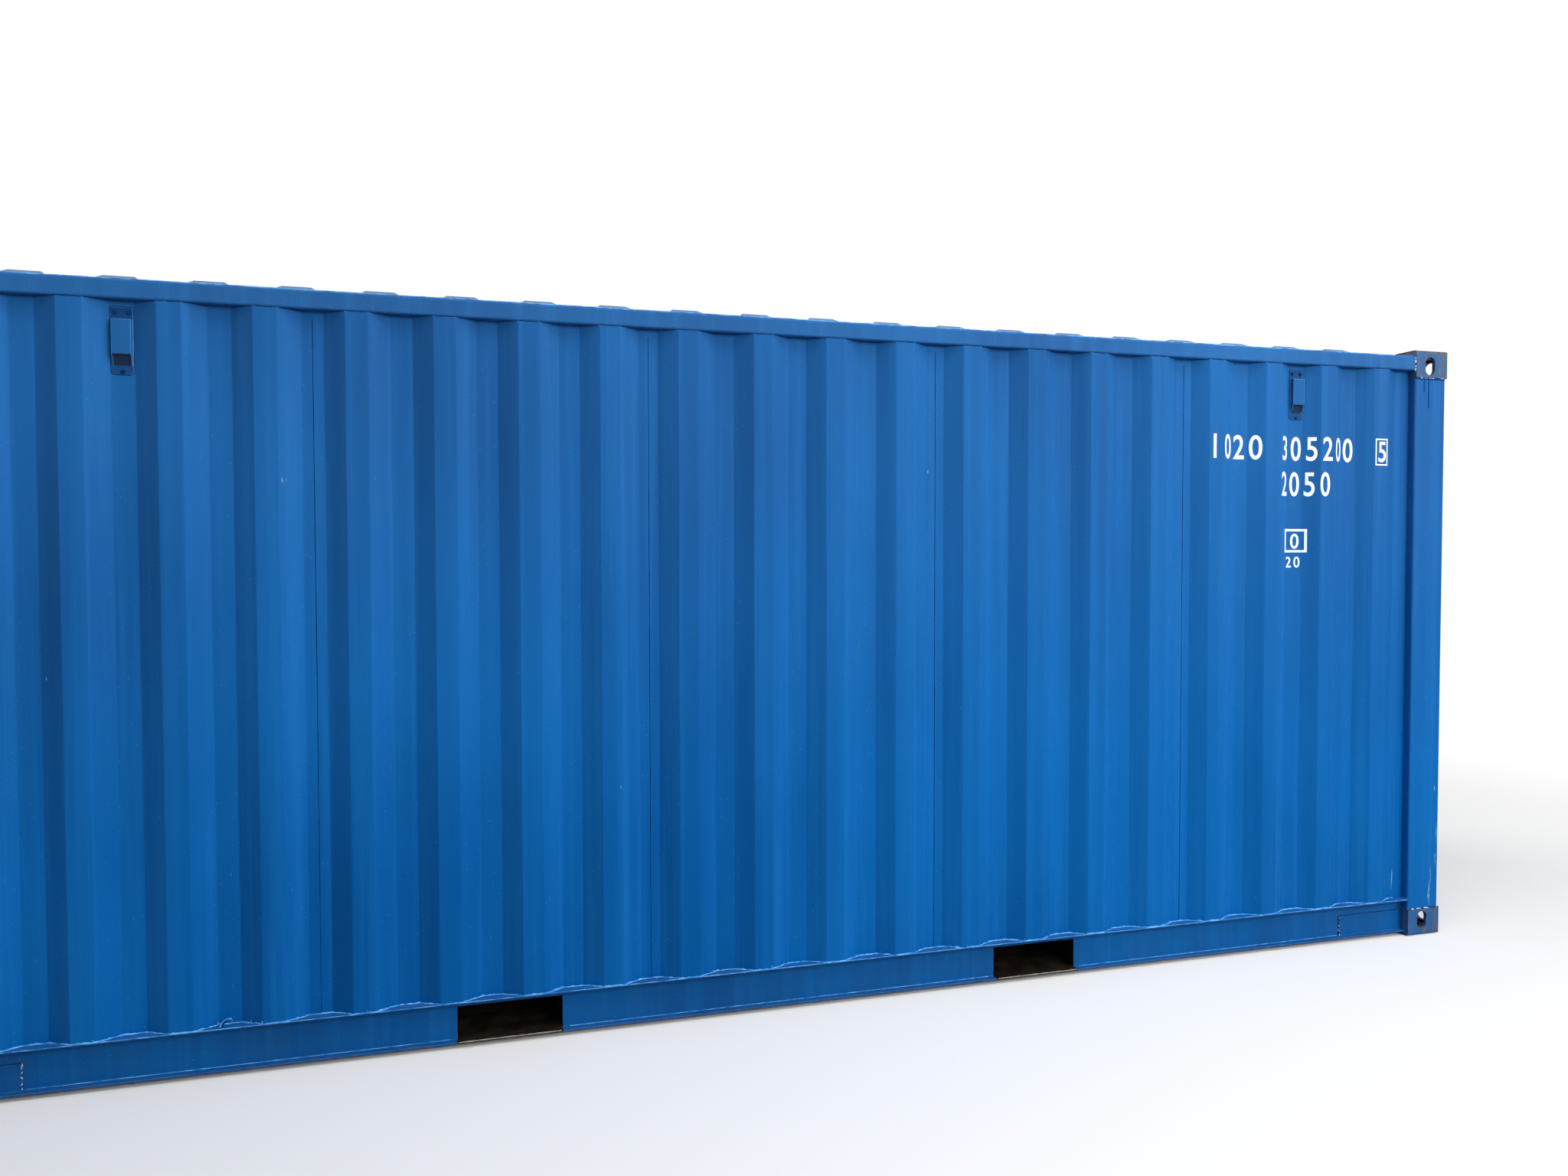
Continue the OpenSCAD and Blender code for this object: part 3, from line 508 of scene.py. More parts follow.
# %% [markdown]
# Welds between thick pieces are rougher. They were laid in short stitches. Their pits are painted
# near black as shade and their crests pale as highlights, painted shade and painted highlights
# that read as a row of pale and dark specks.

# %% Painted shade and highlights on stitched welds
stitch_paint, tree, shader, place = new_finish("stitch_paint")
pits = noise(tree, place, even, 104, 2, 0.5)
stitches = blend(tree, mask(tree, pits, 0.42, 0.49), colour(6, 16, 34), colour(14, 84, 150))
stitches = blend(tree, mask(tree, pits, 0.54, 0.59), stitches, colour(186, 198, 208))
coat(tree, shader, stitches, 0.6, 0.15, bump(tree, pits, 0.002, 0.8))
print("stitch paint ready")


# %% [markdown]
# The floor boards are plywood, seen from below between the cross members. The face veneer has a
# long grain, and the road has left it grey and stained. On the cut edges the layers show as thin
# level lines, a wave of the height.

# %% Plywood
plywood, tree, shader, place = new_finish("plywood")
grain = mask(tree, noise(tree, place, (1.5, 40, 40), 1.0, 5, 0.6), 0.3, 0.7)
stain = mask(tree, noise(tree, place, even, 2.2, 4), 0.35, 0.75)
layers = add(tree, "ShaderNodeTexWave", wave_type="BANDS", bands_direction="Z")
layers.inputs["Scale"].default_value = 90
link(tree, place, layers.inputs["Vector"])
wood = blend(tree, grain, colour(108, 74, 48), colour(168, 128, 88))
wood = blend(tree, share(tree, 0.18, layers.outputs["Fac"]), wood, colour(70, 44, 28))
wood = blend(tree, share(tree, 0.6, stain), wood, colour(62, 52, 46))
coat(tree, shader, wood, 0.75, normal=bump(tree, grain, 0.0008, 0.6))
print("plywood ready")


# %% [markdown]
# The seal round the doors is black rubber. It chalks in the sun, so a grey bloom lies on it in
# upright streaks, and its skin is finely wrinkled.

# %% Rubber
rubber = two_toned("rubber_seal", ((1, 1, 0.3), 24, 4), (0.4, 0.75), (24, 25, 27), (62, 63, 64),
                   0.7, ripples=(90, 3, 0.001, 0.3))
print("rubber ready")


# %% [markdown]
# Bars, brackets and handles are dipped in zinc. Zinc freezes in flat crystals, the spangle, each
# with its own brightness, which is what the cells of a Voronoi texture look like. White bloom
# and a little rust have started in the joints.

# %% Zinc
zinc, tree, shader, place = new_finish("galvanised")
spangle = add(tree, "ShaderNodeTexVoronoi")
spangle.inputs["Scale"].default_value = 70
link(tree, place, spangle.inputs["Vector"])
crystals = split(tree, spangle.outputs["Color"])
bloom = mask(tree, noise(tree, place, (1, 1, 0.5), 12, 5, 0.65), 0.5, 0.75)
rusty = mask(tree, noise(tree, place, even, 26, 6, 0.7), 0.66, 0.72)
metal = blend(tree, crystals["X"], colour(128, 132, 136), colour(168, 171, 174))
metal = blend(tree, share(tree, 0.5, bloom), metal, colour(196, 198, 198))
metal = blend(tree, share(tree, 0.8, rusty), metal, rust_colour(tree, place))
shader.inputs["Metallic"].default_value = 0.55
rounded, _ = edges(tree, 0.002)
coat(tree, shader, metal, mask(tree, crystals["Y"], 0, 1, 0.42, 0.58),
     normal=bump(tree, bloom, 0.0004, 0.4, rounded))
print("zinc ready")


# %% [markdown]
# Now each solid gets its finish. A solid's mesh is left as it is, and only its material slots
# are written. The names of the solids say what they are, so the first word is enough to choose,
# apart from a few that have a finish of their own.

# %% Dress the solids
finish_of = {
    "casting": casting_paint, "side": wall_paint, "front": frame_paint, "rear": frame_paint,
    "top": top_rail_paint, "bottom": rail_paint, "roof": roof_paint, "door": frame_paint,
    "floor": plywood, "cross": underframe_paint, "fork": pocket_steel_and_shade, "locking": zinc,
    "bar": zinc, "cam": zinc, "hinges": frame_paint, "vent": vent_paint,
}
own_finish = {
    "door_gasket": rubber, "door_handles": zinc, "floor_centre_rail": underframe_paint,
    "front_wall": wall_paint, "door_right": wall_paint, "door_left": wall_paint,
}
for name, solid in nodes.items():
    finish = own_finish.get(name, finish_of[name.split("_")[0]])
    solid.data.materials.clear()
    solid.data.materials.append(finish)
used = {solid.data.materials[0].name for solid in nodes.values()}
print("dressed", len(nodes), "solids in", len(used), "finishes")


# %% [markdown]
# Geometry Nodes grow the parts that repeat or follow a path. Each tree takes a small mesh of
# points or of lines, has its sizes as named inputs, and ends with Realize Instances and Set
# Material. The helper below runs a tree on a mesh, keeps the result as a plain mesh and lets the
# piece ride on the container.

# %% Run a tree and keep its mesh
def new_tree(title, sizes):
    """A Geometry Nodes tree with a mesh going in and out, named sizes and a material."""
    tree = bpy.data.node_groups.new(title, "GeometryNodeTree")
    tree.interface.new_socket("Mesh", in_out="INPUT", socket_type="NodeSocketGeometry")
    tree.interface.new_socket("Mesh", in_out="OUTPUT", socket_type="NodeSocketGeometry")
    for name, (kind, value) in sizes.items():
        socket = tree.interface.new_socket(name, in_out="INPUT", socket_type="NodeSocket" + kind)
        if value is not None:
            socket.default_value = value
    return tree, add(tree, "NodeGroupInput").outputs


def finish_tree(tree, geometry, material, smooth):
    """Realize Instances, Set Shade Smooth and Set Material, then the tree's output."""
    real = add(tree, "GeometryNodeRealizeInstances")
    shade = add(tree, "GeometryNodeSetShadeSmooth")
    dressed = add(tree, "GeometryNodeSetMaterial")
    link(tree, geometry, real.inputs[0])
    link(tree, real.outputs[0], shade.inputs[0])
    shade.inputs["Shade Smooth"].default_value = smooth
    link(tree, shade.outputs[0], dressed.inputs["Geometry"])
    link(tree, material, dressed.inputs["Material"])
    link(tree, dressed.outputs[0], add(tree, "NodeGroupOutput").inputs[0])


def plain_mesh(thing):
    """What modifiers or a curve make of an object, as a mesh of its own."""
    return bpy.data.meshes.new_from_object(thing.evaluated_get(bpy.context.evaluated_depsgraph_get()))


def grow(name, tree, points, lines, slot, **sizes):
    """Runs a tree on points and lines in millimetres and keeps the plain mesh."""
    seed = bpy.data.meshes.new(name)
    seed.from_pydata([(x / 1000, y / 1000, z / 1000) for x, y, z in points], lines, [])
    piece = stand(name, seed)
    modifier = piece.modifiers.new(name, "NODES")
    modifier.node_group = tree
    for item in tree.interface.items_tree:
        if item.in_out == "INPUT" and item.name in sizes:
            modifier[item.identifier] = sizes[item.name]
    plain = plain_mesh(piece)
    piece.modifiers.clear()
    piece.data = plain
    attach(piece, "root")
    plain.calc_loop_triangles()
    print(name, "has", len(plain.loop_triangles), "triangles")


# %% [markdown]
# A weld bead follows a seam. The tree turns lines into curves, puts a ring every few millimetres,
# pushes each ring a little off the seam and swells it a little, both from a noise, and sweeps a
# low circle along. A straight tube would be simpler, but no hand-laid bead is straight.

# %% The tree for weld beads
bead_tree, given = new_tree("weld_bead", {
    "Radius": ("Float", 0.004), "Step": ("Float", 0.010), "Wobble": ("Float", 0.002),
    "Swell": ("Float", 0.6), "Grain": ("Float", 60.0), "Paint": ("Material", None),
})
as_curve = add(bead_tree, "GeometryNodeMeshToCurve")
rings = add(bead_tree, "GeometryNodeResampleCurve", mode="LENGTH")
shift = add(bead_tree, "GeometryNodeSetPosition")
ripple = add(bead_tree, "ShaderNodeTexNoise")
centred = add(bead_tree, "ShaderNodeVectorMath", operation="SUBTRACT")
centred.inputs[1].default_value = (0.5, 0.5, 0.5)
pushed = add(bead_tree, "ShaderNodeVectorMath", operation="SCALE")
ring = add(bead_tree, "GeometryNodeCurvePrimitiveCircle")
ring.inputs["Resolution"].default_value = 6
ring.inputs["Radius"].default_value = 1.0
sweep = add(bead_tree, "GeometryNodeCurveToMesh")
sweep.inputs["Fill Caps"].default_value = True
join = bead_tree.links.new
join(given["Mesh"], as_curve.inputs[0])
join(as_curve.outputs[0], rings.inputs["Curve"])
join(given["Step"], rings.inputs["Length"])
join(given["Grain"], ripple.inputs["Scale"])
join(ripple.outputs["Color"], centred.inputs[0])
join(centred.outputs[0], pushed.inputs[0])
join(given["Wobble"], pushed.inputs["Scale"])
join(rings.outputs[0], shift.inputs[0])
join(pushed.outputs[0], shift.inputs["Offset"])
swing = maths(bead_tree, "SUBTRACT", ripple.outputs[0], 0.5)
swing = maths(bead_tree, "MULTIPLY", maths(bead_tree, "MULTIPLY", swing, given["Swell"]), 2.0)
swell = maths(bead_tree, "ADD", swing, 1.0)
join(shift.outputs[0], sweep.inputs[0])
join(maths(bead_tree, "MULTIPLY", swell, given["Radius"]), sweep.inputs["Scale"])
join(ring.outputs[0], sweep.inputs[1])
finish_tree(bead_tree, sweep.outputs[0], given["Paint"], True)


def bead(name, paths, paint=bead_paint_with_highlight, **sizes):
    """One piece with a bead along each path."""
    points, lines = [], []
    for line in paths:
        start = len(points)
        lines += [(start + i, start + i + 1) for i in range(len(line) - 1)]
        points += line
    grow(name, bead_tree, points, lines, "blue_paint", Paint=paint, **sizes)


print("bead tree has", len(bead_tree.nodes), "nodes")


# %% [markdown]
# The longest seams are where the corrugated walls stand on the bottom rails and meet the top
# rails. The bead has to follow every corrugation, so its path is read off the imported wall: a ray
# from outside, at each place where the sheet bends, gives the outer face there.
# At the foot the bead is thick, and pale with a painted highlight. At the head a fine dark line
# stands for the shadow in the gap under the top rail: a painted shadow.

# %% Beads along the corrugations
bpy.context.view_layer.update()


def outline(name, axis, sign, level_mm):
    """Points on a wall's outer face, in mm, at each bend. axis is the way along the wall."""
    wall = nodes[name]
    along = sorted({round(v.co[axis], 4) for v in wall.data.vertices})
    points = []
    for at in along:
        start = Vector((0.0, 0.0, level_mm / 1000))
        start[axis] = min(max(at, along[0] + 1e-4), along[-1] - 1e-4)
        start[1 - axis] = sign * 4.0
        way = Vector((0.0, 0.0, 0.0))
        way[1 - axis] = -sign
        hit, spot, _, _ = wall.ray_cast(start, way)
        if hit:
            points.append([c * 1000 for c in spot])
    return points


def at_height(side, z, out):
    """A wall's outline at a height, moved outwards."""
    axis, sign = walls[side][1:]
    moved = []
    for point in wall_lines[side]:
        new = list(point)
        new[1 - axis] += sign * out
        new[2] = z
        moved.append(new)
    return moved


half_height = 1300
wall_foot, wall_head = 166, 2501.5
walls = {
    "right": ("side_wall_right", 0, -1), "left": ("side_wall_left", 0, 1),
    "front": ("front_wall", 1, 1),
}
wall_lines = {side: outline(*wall, half_height) for side, wall in walls.items()}
for side in walls:
    bead(side + "_base_bead", [at_height(side, wall_foot, -0.8)],
         Radius=0.0033, Step=0.006, Wobble=0.006, Swell=1.3, Grain=75.0)
    bead(side + "_head_shadow_line", [at_height(side, wall_head, -1.0)], shadow_and_dark_paint,
         Radius=0.0018, Step=0.014)
print("bends in each wall:", {side: len(line) for side, line in wall_lines.items()})


# %% [markdown]
# Each side wall is made of several pressed panels. They are butted and welded from top to bottom
# in the middle of a flat, and ground nearly level. The seam is a fine upright line of painted
# shade, a dark paint for the shade in its shallow groove.

# %% Seams between the wall panels
def face_at(side, along):
    """The outer face of a wall, in mm, at a place along it."""
    axis = walls[side][1]
    line = wall_lines[side]
    for a, b in zip(line, line[1:]):
        if a[axis] <= along <= b[axis]:
            t = (along - a[axis]) / max(b[axis] - a[axis], 1e-6)
            return a[1 - axis] + t * (b[1 - axis] - a[1 - axis])
    return line[0][1 - axis]


wall_middle, panel_length = 27.5, 1112
seam_places = [wall_middle + panel_length * panels for panels in (-1.5, -0.5, 0.5, 1.5)]
for side in ("right", "left"):
    seams = [[(x, face_at(side, x), z) for z in range(172, 2497, 24)] for x in seam_places]
    bead(side + "_panel_seams", seams, shadow_and_dark_paint, Radius=0.0013, Step=0.020, Wobble=0.0010, Swell=0.4)
print("seams at X:", seam_places)


# %% [markdown]
# The frame is welded wherever two members meet: posts to castings, rails to castings, the
# doubler plates to the webs of the bottom rails, the roof to the rails. The beads on castings and
# at the ends of the doubler plates are fat and stitched. Others are fine. A pale bead on the edge
# of the bottom rail's flange is paint gathered there, pale as a painted highlight, and a pale line
# along the bend at the foot of each web is a painted highlight. Dark lines along the top of each
# doubler plate and in the gap under each top casting are painted shadows.
# A corner's beads are written once, in millimetres, and mirrored to the other corners.

# %% Beads of the frame
def mirrored(paths, ends=(1, -1), sides=(1, -1)):
    """Copies of paths at the other ends and sides of the container."""
    return [[(e * x, s * y, z) for x, y, z in line] for line in paths for e in ends for s in sides]


def round_post(corner_x, *inner):
    """Beads under and over a post, along its face to a corner and on to the inner points."""
    paths = []
    for casting_z, away in ((119, 0.5), (2472, -0.5)):
        face = [(x, 1214.8, casting_z + away) for x in (2852, corner_x)]
        paths.append(face + [(x, y, casting_z) for x, y in inner])
    return paths


rail_joint = [(2849, 1158, 2562), (2849, 1210, 2562), (2849, 1214.2, 2558), (2849, 1214.2, 2506),
              (2849, 1210, 2501)]
web_joint = [(2850, 1213, 166), (2850, 1170, 166), (2850, 1170, 20), (2850, 1196, 18)]
doubler_end = [(2519, 1171, 24), (2519, 1171, 107)]
# Along the top of each doubler plate: a dark line of painted shadow in the gap.
doubler_gap_shadow = [(2519, 1171, 108), (2850, 1171, 108)]
# Along the bend at the foot of each web: a pale line, a painted highlight.
web_bend_highlights = [[(x, 1170, 22.5) for x in range(*span, 40)] for span in ((-820, 21), (1230, 2511))]
pocket_lip = [(x, 1198.4, 21.0) for x in range(852, 1201, 29)]
# On the flange's edge: gathered paint, pale as a painted highlight.
flange_highlight_line = [(x, 1216.6, 165.0) for x in range(-2840, 2841, 40)]
# Under each top casting: a dark line of painted shadow.
under_casting = [(2860, 1215.4, 2466), (3006, 1215.4, 2466)]
front_post = round_post(3008, (3016, 1208), (3016, 1112))
rear_post = round_post(2984, (2986, 1212), (2986, 1174))
stitched = {"Step": 0.006, "Wobble": 0.001, "Grain": 90.0}

bead("rail_beads", mirrored([rail_joint]), stitch_paint, Radius=0.0046, Swell=0.15, **stitched)
bead("web_beads", mirrored([web_joint]), rail_paint, Radius=0.0035, Step=0.007, Wobble=0.003)
bead("doubler_ends", mirrored([doubler_end]), stitch_paint,
     Radius=0.0034, Step=0.006, Wobble=0.004, Swell=2.2, Grain=110.0)
bead("doubler_gap_shadows", mirrored([doubler_gap_shadow]), shadow_and_dark_paint, Radius=0.0016, Step=0.012, Wobble=0.001)
bead("web_bend_highlight_lines", mirrored(web_bend_highlights), Radius=0.0016, Step=0.016, Swell=1.2)
bead("pocket_lips", mirrored([pocket_lip]), lip_steel, Radius=0.0024, Wobble=0.001)
bead("flange_highlight_lines", mirrored([flange_highlight_line], ends=(1,)),
     Radius=0.0014, Step=0.020, Wobble=0.001, Swell=1.0)
bead("casting_shadows", mirrored([under_casting], ends=(1,)), shadow_and_dark_paint,
     Radius=0.0028, Wobble=0.001, Swell=0.2)
bead("front_post_beads", mirrored(front_post, ends=(1,)), stitch_paint,
     Radius=0.0040, Swell=0.10, **stitched)
bead("rear_post_beads", mirrored(rear_post, ends=(-1,)), stitch_paint,
     Radius=0.0040, Swell=0.10, **stitched)

roof_long = [(x, 1211.5, 2562.5) for x in range(-2740, 2741, 40)]
roof_cross = [(2740, y, 2564.5) for y in range(-1200, 1201, 40)]
bead("roof_beads", mirrored([roof_long], ends=(1,)) + mirrored([roof_cross], sides=(1,)),
     Radius=0.0026, Step=0.016)

beam_joints = [[(2986, 1056, 2450), (2986, 1056, 2472)], [(2986, 1056, 120), (2986, 1056, 158)]]
bead("beam_beads", mirrored(beam_joints, ends=(-1,)), Radius=0.003, Step=0.008)


# %% [markdown]
# Small hardware is bolted or riveted on. One tree makes a fastener from a washer and a head, and
# puts a copy on each point, turned to the face that it sits on. With twelve sides in place of six
# the head is nearly round, as a screw's is, so the same tree does for both.

# %% The tree for bolts and screws
bolt_tree, given = new_tree("fastener", {
    "Sides": ("Int", 6), "Width": ("Float", 0.016), "Height": ("Float", 0.006),
    "Washer": ("Float", 0.012), "Turn": ("Rotation", None), "Metal": ("Material", None),
})
join = bolt_tree.links.new
head = add(bolt_tree, "GeometryNodeMeshCone")
join(given["Sides"], head.inputs["Vertices"])
half = maths(bolt_tree, "MULTIPLY", given["Width"], 0.5)
join(half, head.inputs["Radius Bottom"])
join(maths(bolt_tree, "MULTIPLY", half, 0.82), head.inputs["Radius Top"])
join(given["Height"], head.inputs["Depth"])
washer = add(bolt_tree, "GeometryNodeMeshCylinder")
washer.inputs["Vertices"].default_value = 16
join(given["Washer"], washer.inputs["Radius"])
join(maths(bolt_tree, "MULTIPLY", given["Height"], 0.3), washer.inputs["Depth"])
together = add(bolt_tree, "GeometryNodeJoinGeometry")
join(head.outputs["Mesh"], together.inputs[0])
join(washer.outputs["Mesh"], together.inputs[0])


def copy_to_points(tree, given, shape):
    """A copy of a shape on each point of the mesh, turned, and the end of the tree."""
    spots = add(tree, "GeometryNodeMeshToPoints")
    copies = add(tree, "GeometryNodeInstanceOnPoints")
    link(tree, given["Mesh"], spots.inputs[0])
    link(tree, spots.outputs[0], copies.inputs["Points"])
    link(tree, shape, copies.inputs["Instance"])
    link(tree, given["Turn"], copies.inputs["Rotation"])
    finish_tree(tree, copies.outputs[0], given["Metal"], False)


copy_to_points(bolt_tree, given, together.outputs[0])

to_right = Euler((math.pi / 2, 0, 0))
to_left = Euler((-math.pi / 2, 0, 0))
to_rear = Euler((0, -math.pi / 2, 0))


def fasteners(name, points, turn, slot, metal, **sizes):
    grow(name, bolt_tree, points, [], slot, Turn=turn, Metal=metal, **sizes)


print("fastener tree has", len(bolt_tree.nodes), "nodes")


# %% [markdown]
# A vent is held by two screws at its top and one at its foot, and a line of sealant runs round
# its plate, dark as the painted shadow at the plate's edge. The plate's lower corners are cut off,
# and the sealant follows them.

# %% Screws and sealant of the vents
def vents_of(side):
    """The vents of a side in mm: rear end, front end, foot and top of each."""
    boxes = [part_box(name) for name in nodes if name.startswith("vent_" + side)]
    return [(1000 * low[0], 1000 * high[0], 1000 * low[2], 1000 * high[2]) for low, high in boxes]


screw_y, sealant_y = 1180.8, 1178.6
for side, sign, turn in (("right", -1, to_right), ("left", 1, to_left)):
    screws, plates = [], []
    for x0, x1, z0, z1 in vents_of(side):
        middle = 0.5 * (x0 + x1)
        screws += [(middle - 20, sign * screw_y, z1 - 17), (middle + 20, sign * screw_y, z1 - 17),
                   (middle, sign * screw_y, z0 + 8)]
        x0, x1, z0, z1 = x0 - 1, x1 + 1, z0 - 1, z1 + 1
        around = ((x0, z0 + 8), (x0, z1), (x1, z1), (x1, z0 + 8), (x1 - 8, z0), (x0 + 8, z0))
        plates.append([(x, sign * sealant_y, z) for x, z in around + around[:1]])
    fasteners(side + "_vent_screws", screws, turn, "blue_paint", shadow_and_dark_paint,
              Sides=12, Width=0.011, Height=0.004, Washer=0.007)
    bead(side + "_vent_sealant_shadow", plates, shadow_and_dark_paint, Radius=0.0015, Step=0.008, Wobble=0.001)


# %% [markdown]
# Under the hood of a vent is a fine woven screen that keeps insects out and hides the holes in
# the wall. A grid of edges, each made a thin wire, is all it needs at this size. The screen leans
# back from the plate to the hood's lip.

# %% Screens of the vents
screen_tree, given = new_tree("woven_screen", {
    "Width": ("Float", 0.050), "Height": ("Float", 0.040), "Gap": ("Float", 0.0042),
    "Wire": ("Float", 0.0006), "Turn": ("Rotation", None), "Metal": ("Material", None),
})
join = screen_tree.links.new
cloth = add(screen_tree, "GeometryNodeMeshGrid")
join(given["Width"], cloth.inputs["Size X"])
join(given["Height"], cloth.inputs["Size Y"])
join(maths(screen_tree, "DIVIDE", given["Width"], given["Gap"]), cloth.inputs["Vertices X"])
join(maths(screen_tree, "DIVIDE", given["Height"], given["Gap"]), cloth.inputs["Vertices Y"])
wires = add(screen_tree, "GeometryNodeMeshToCurve")
join(cloth.outputs["Mesh"], wires.inputs[0])
round_wire = add(screen_tree, "GeometryNodeCurvePrimitiveCircle")
round_wire.inputs["Resolution"].default_value = 4
join(given["Wire"], round_wire.inputs["Radius"])
drawn = add(screen_tree, "GeometryNodeCurveToMesh")
join(wires.outputs[0], drawn.inputs[0])
join(round_wire.outputs[0], drawn.inputs[1])
copy_to_points(screen_tree, given, drawn.outputs[0])

screen_y, below_top = 1188, 165
# The wire is dark blue, darkened to nearly black as painted shade under the hood.
screen_wire_and_shade = two_toned("screen_wire_and_shade", (even, 400, 2), None, (1, 8, 24), (12, 32, 62), 0.5)
for side, sign in (("right", -1), ("left", 1)):
    lean = Euler((math.atan2(40, sign * 18), 0, 0))
    middles = [(0.5 * (x0 + x1), sign * screen_y, z1 - below_top) for x0, x1, _, z1 in vents_of(side)]
    grow(side + "_vent_screens", screen_tree, middles, [], "blue_paint",
         Width=0.052, Height=0.043, Turn=lean, Metal=screen_wire_and_shade)


# %% [markdown]
# On the door end, each bar bracket, cam keeper and hinge blade is bolted through its foot. The
# holes are in rows: four bolts at each of four heights on a bar, six on each hinge blade.

# %% Bolts of the door end
bar_rows = (-900, -210, 210, 900)
bracket_heights = (243, 747.5, 1859.5, 2364)
hinge_heights = (318, 975, 1632, 2289)
blade_holes = (1010, 1045, 1080)
feet = [(-2987, y + dy, z + dz)
        for y in bar_rows for z in bracket_heights for dy in (-42, 42) for dz in (-12, 12)]
fasteners("bracket_bolts", feet, to_rear, "galvanised", zinc,
          Sides=6, Width=0.013, Height=0.006, Washer=0.009)
blades = [(-2990, side * y, z + dz)
          for side in (-1, 1) for z in hinge_heights for y in blade_holes for dz in (-20, 20)]
fasteners("hinge_bolts", blades, to_rear, "blue_paint", frame_paint,
          Sides=6, Width=0.015, Height=0.007, Washer=0.010)


# %% [markdown]
# White stencilled marks stand at the right end of the wall. Plain digits and plain frames fill
# their places here. The stencil is laid along the sheet, in and out of its bends, so a digit on a
# slope looks narrower from the front. The helper below turns a length measured along the sheet
# into a place on it.

# %% Lengths along the sheet
wall_xs = [point[0] / 1000 for point in wall_lines["right"]]
wall_ys = [point[1] / 1000 for point in wall_lines["right"]]
bends = list(zip(wall_xs, wall_ys))
run = [0.0]
for a, b in zip(bends, bends[1:]):
    run.append(run[-1] + math.dist(a, b))


def between(value, given_list, wanted_list):
    """The wanted value at a place in a rising list."""
    for i in range(len(given_list) - 1):
        if value <= given_list[i + 1]:
            break
    t = (value - given_list[i]) / (given_list[i + 1] - given_list[i])
    return wanted_list[i] + t * (wanted_list[i + 1] - wanted_list[i])


print("sheet is", round(run[-1] / (wall_xs[-1] - wall_xs[0]), 3), "times as long as the wall")


# %% [markdown]
# Text in Blender is a curve. It is made a mesh, stretched to fill its place, cut at every bend of
# the wall and laid on the sheet. The paint of the stencil is worn thin in small spots.

# %% Stencilled marks
marks = bmesh.new()


def flat_text(body, x0, x1, z0, z1):
    """Bold digits as a flat mesh that fills a rectangle, in metres, measured along the sheet."""
    curve = bpy.data.curves.new("digits", "FONT")
    curve.body = body
    curve.space_character = 1.3
    curve.resolution_u = 6
    curve.offset = 0.012
    holder = stand("digits", curve)
    mesh = plain_mesh(holder)
    bpy.data.objects.remove(holder)
    xs = [v.co.x for v in mesh.vertices]
    ys = [v.co.y for v in mesh.vertices]
    run0, run1 = between(x0, wall_xs, run), between(x1, wall_xs, run)
    for v in mesh.vertices:
        s = (v.co.x - min(xs)) / (max(xs) - min(xs))
        t = (v.co.y - min(ys)) / (max(ys) - min(ys))
        v.co = (between(run0 + s * (run1 - run0), run, wall_xs), 0.0, z0 + t * (z1 - z0))
    marks.from_mesh(mesh)


def flat_frame(x0, x1, z0, z1, line):
    """A rectangle drawn with four strips."""
    for a, b, c, d in ((x0, x1, z0, z0 + line), (x0, x1, z1 - line, z1),
                       (x0, x0 + line, z0 + line, z1 - line), (x1 - line, x1, z0 + line, z1 - line)):
        corners = [marks.verts.new(p) for p in ((a, 0, c), (b, 0, c), (b, 0, d), (a, 0, d))]
        marks.faces.new(corners)


def face_out(flat):
    """Turns the faces of a flat mesh away from the right wall."""
    flat.normal_update()
    for face in flat.faces:
        if face.normal.y > 0:
            face.normal_flip()


def lay_on_wall(flat, lift):
    """Puts a flat mesh in X and Z on the right wall."""
    for v in flat.verts:
        v.co.y = between(v.co.x, wall_xs, wall_ys) - lift
    bmesh.ops.triangulate(flat, faces=flat.faces[:])
    face_out(flat)


def keep(flat, name, material):
    """Makes a piece of a bmesh and lets it ride on the container."""
    mesh = bpy.data.meshes.new(name)
    flat.to_mesh(mesh)
    flat.free()
    mesh.materials.append(material)
    piece = stand(name, mesh)
    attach(piece, "root")
    print(name, "has", len(mesh.polygons), "faces")


flat_text("1020", 1.816, 2.062, 2.096, 2.199)
flat_text("305200", 2.167, 2.551, 2.096, 2.199)
flat_text("5", 2.656, 2.696, 2.097, 2.186)
flat_frame(2.641, 2.705, 2.083, 2.199, 0.006)
flat_text("2050", 2.162, 2.403, 1.945, 2.049)
flat_frame(2.194, 2.308, 1.706, 1.806, 0.010)
flat_text("0", 2.231, 2.275, 1.722, 1.786)
flat_text("20", 2.207, 2.281, 1.641, 1.688)
for x in wall_xs:
    geometry = marks.verts[:] + marks.edges[:] + marks.faces[:]
    bmesh.ops.bisect_plane(marks, geom=geometry, plane_co=(x, 0, 0), plane_no=(1, 0, 0))
lay_on_wall(marks, 0.0004)
stencil = two_toned("stencil_white", (even, 60, 5, 0.7), (0.64, 0.76),
                    (224, 230, 234), (130, 168, 206), 0.55, 0.2)
keep(marks, "stencil_marks", stencil)


# %% [markdown]
# Small damage is what makes the steel look used: scrapes down the front post where something was
# dragged past it, a nick in the paint of the wall, pale specks. They only take paint off, so each
# is a thin ragged patch that lies on the face. A patch is a strip whose two edges wander, from a
# seeded random number, so that it is the same on every run.

# %% Scrapes and nicks
scraped_paint = two_toned("scraped_paint", ((1, 1, 0.3), 160, 4, 0.7), (0.35, 0.6),
                          (60, 118, 176), (140, 170, 196), 0.7, 0.1)
luck = random.Random(7)


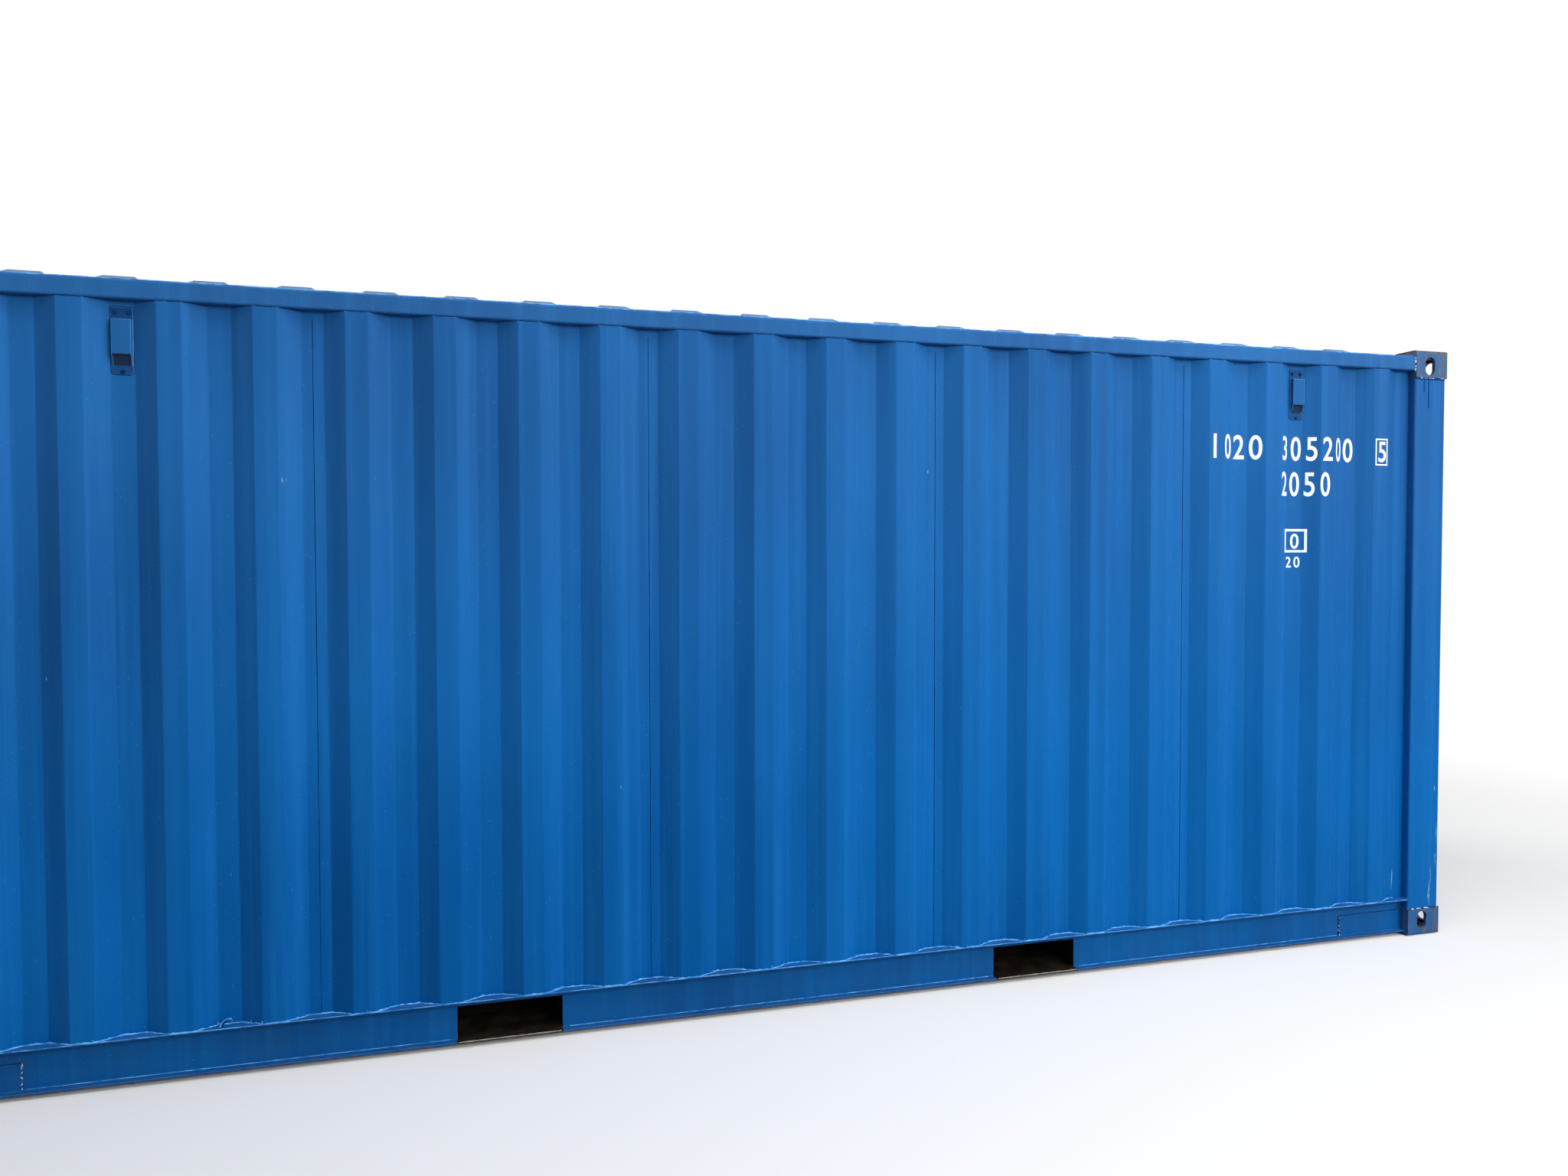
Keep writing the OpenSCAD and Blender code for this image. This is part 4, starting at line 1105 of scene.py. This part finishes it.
def ragged(mesh, x, z0, z1, width, steps, y=0.0):
    """A thin upright patch with wandering edges, in metres."""
    rows = []
    middle = x
    for i in range(steps + 1):
        t = i / steps
        middle += luck.uniform(-0.25, 0.25) * width
        swell = math.sin(math.pi * min(max(t, 0.06), 0.94))
        half = 0.5 * width * swell * luck.uniform(0.5, 1.2)
        z = z0 + t * (z1 - z0)
        rows.append([mesh.verts.new((middle + s * half, y, z)) for s in (-1, 1)])
    for low, high in zip(rows, rows[1:]):
        mesh.faces.new((low[0], low[1], high[1], high[0]))


nicks = bmesh.new()
for x, z0, z1, width in (
        (-1.733, 1.930, 1.954, 0.0035), (-1.724, 1.940, 1.951, 0.0025), (0.553, 2.008, 2.026, 0.004),
        (2.796, 0.205, 0.300, 0.004), (2.745, 0.230, 0.262, 0.003), (-0.640, 0.870, 0.884, 0.003),
        (1.905, 1.120, 1.130, 0.003), (-2.420, 1.310, 1.322, 0.004)):
    ragged(nicks, x, z0, z1, width, 8)
lay_on_wall(nicks, 0.0005)
keep(nicks, "wall_nicks", scraped_paint)

post_face = -1.2164
scrapes = bmesh.new()
for x, z0, z1, width in (
        (2.968, 0.130, 0.235, 0.007), (2.972, 0.225, 0.300, 0.004), (2.960, 0.150, 0.196, 0.004),
        (3.001, 0.400, 0.500, 0.004), (2.998, 0.300, 0.372, 0.003), (2.990, 0.640, 0.668, 0.004)):
    ragged(scrapes, x, z0, z1, width, 10, post_face)
face_out(scrapes)
keep(scrapes, "post_scrapes", scraped_paint)


# %% [markdown]
# Some things stand off the steel. Something caught the bead at the foot of the wall and tore up a
# small curl of metal, which still stands on the flange. And under the top casting the paint has
# run, in two long drops. Here and there the welding wire left a knot on the bead along the foot of
# the walls. All of them are short paths, so the bead tree makes them too.

# %% A torn curl and its painted shadow, two runs of paint and the knots
curl = [(-1946, -1203, 168), (-1944, -1204, 176), (-1938, -1205, 184), (-1930, -1206, 190),
        (-1920, -1206, 193), (-1911, -1205, 191)]
# A dark line beside the curl is its painted shadow.
torn = [(x + 5, y + 1.5, z - 3) for x, y, z in curl[:4]]
bead("torn_curl", [curl], Radius=0.0034, Step=0.003, Wobble=0.001, Swell=0.4)
bead("torn_curl_shadow", [torn], shadow_and_dark_paint, Radius=0.0030, Step=0.004)

drip_paint = two_toned("drip_paint", ((1, 1, 0.3), 60, 2), None, (0, 46, 100), (4, 74, 140), 0.5, 0.05)
casting_foot, run_y = 2470, -1212.8
runs = [[(x, run_y, z) for z in range(casting_foot, tip, -10)]
        for x, tip in ((2922, 2330), (2898, 2400))]
bead("paint_runs", runs, drip_paint, Radius=0.0053, Step=0.008, Wobble=0.001, Swell=0.12)

knots = []
for side, sign in (("right", -1), ("left", 1)):
    for _ in range(18):
        x = luck.uniform(-2700, 2760)
        y = face_at(side, x) + sign * 1.0
        tip = (x + luck.uniform(-9, 9), y + sign * 1.5, 173 + luck.uniform(0, 5))
        knots.append([(x, y, wall_foot), tip])
bead("bead_knots", knots, Radius=0.0020, Step=0.003, Wobble=0.001, Swell=0.8)
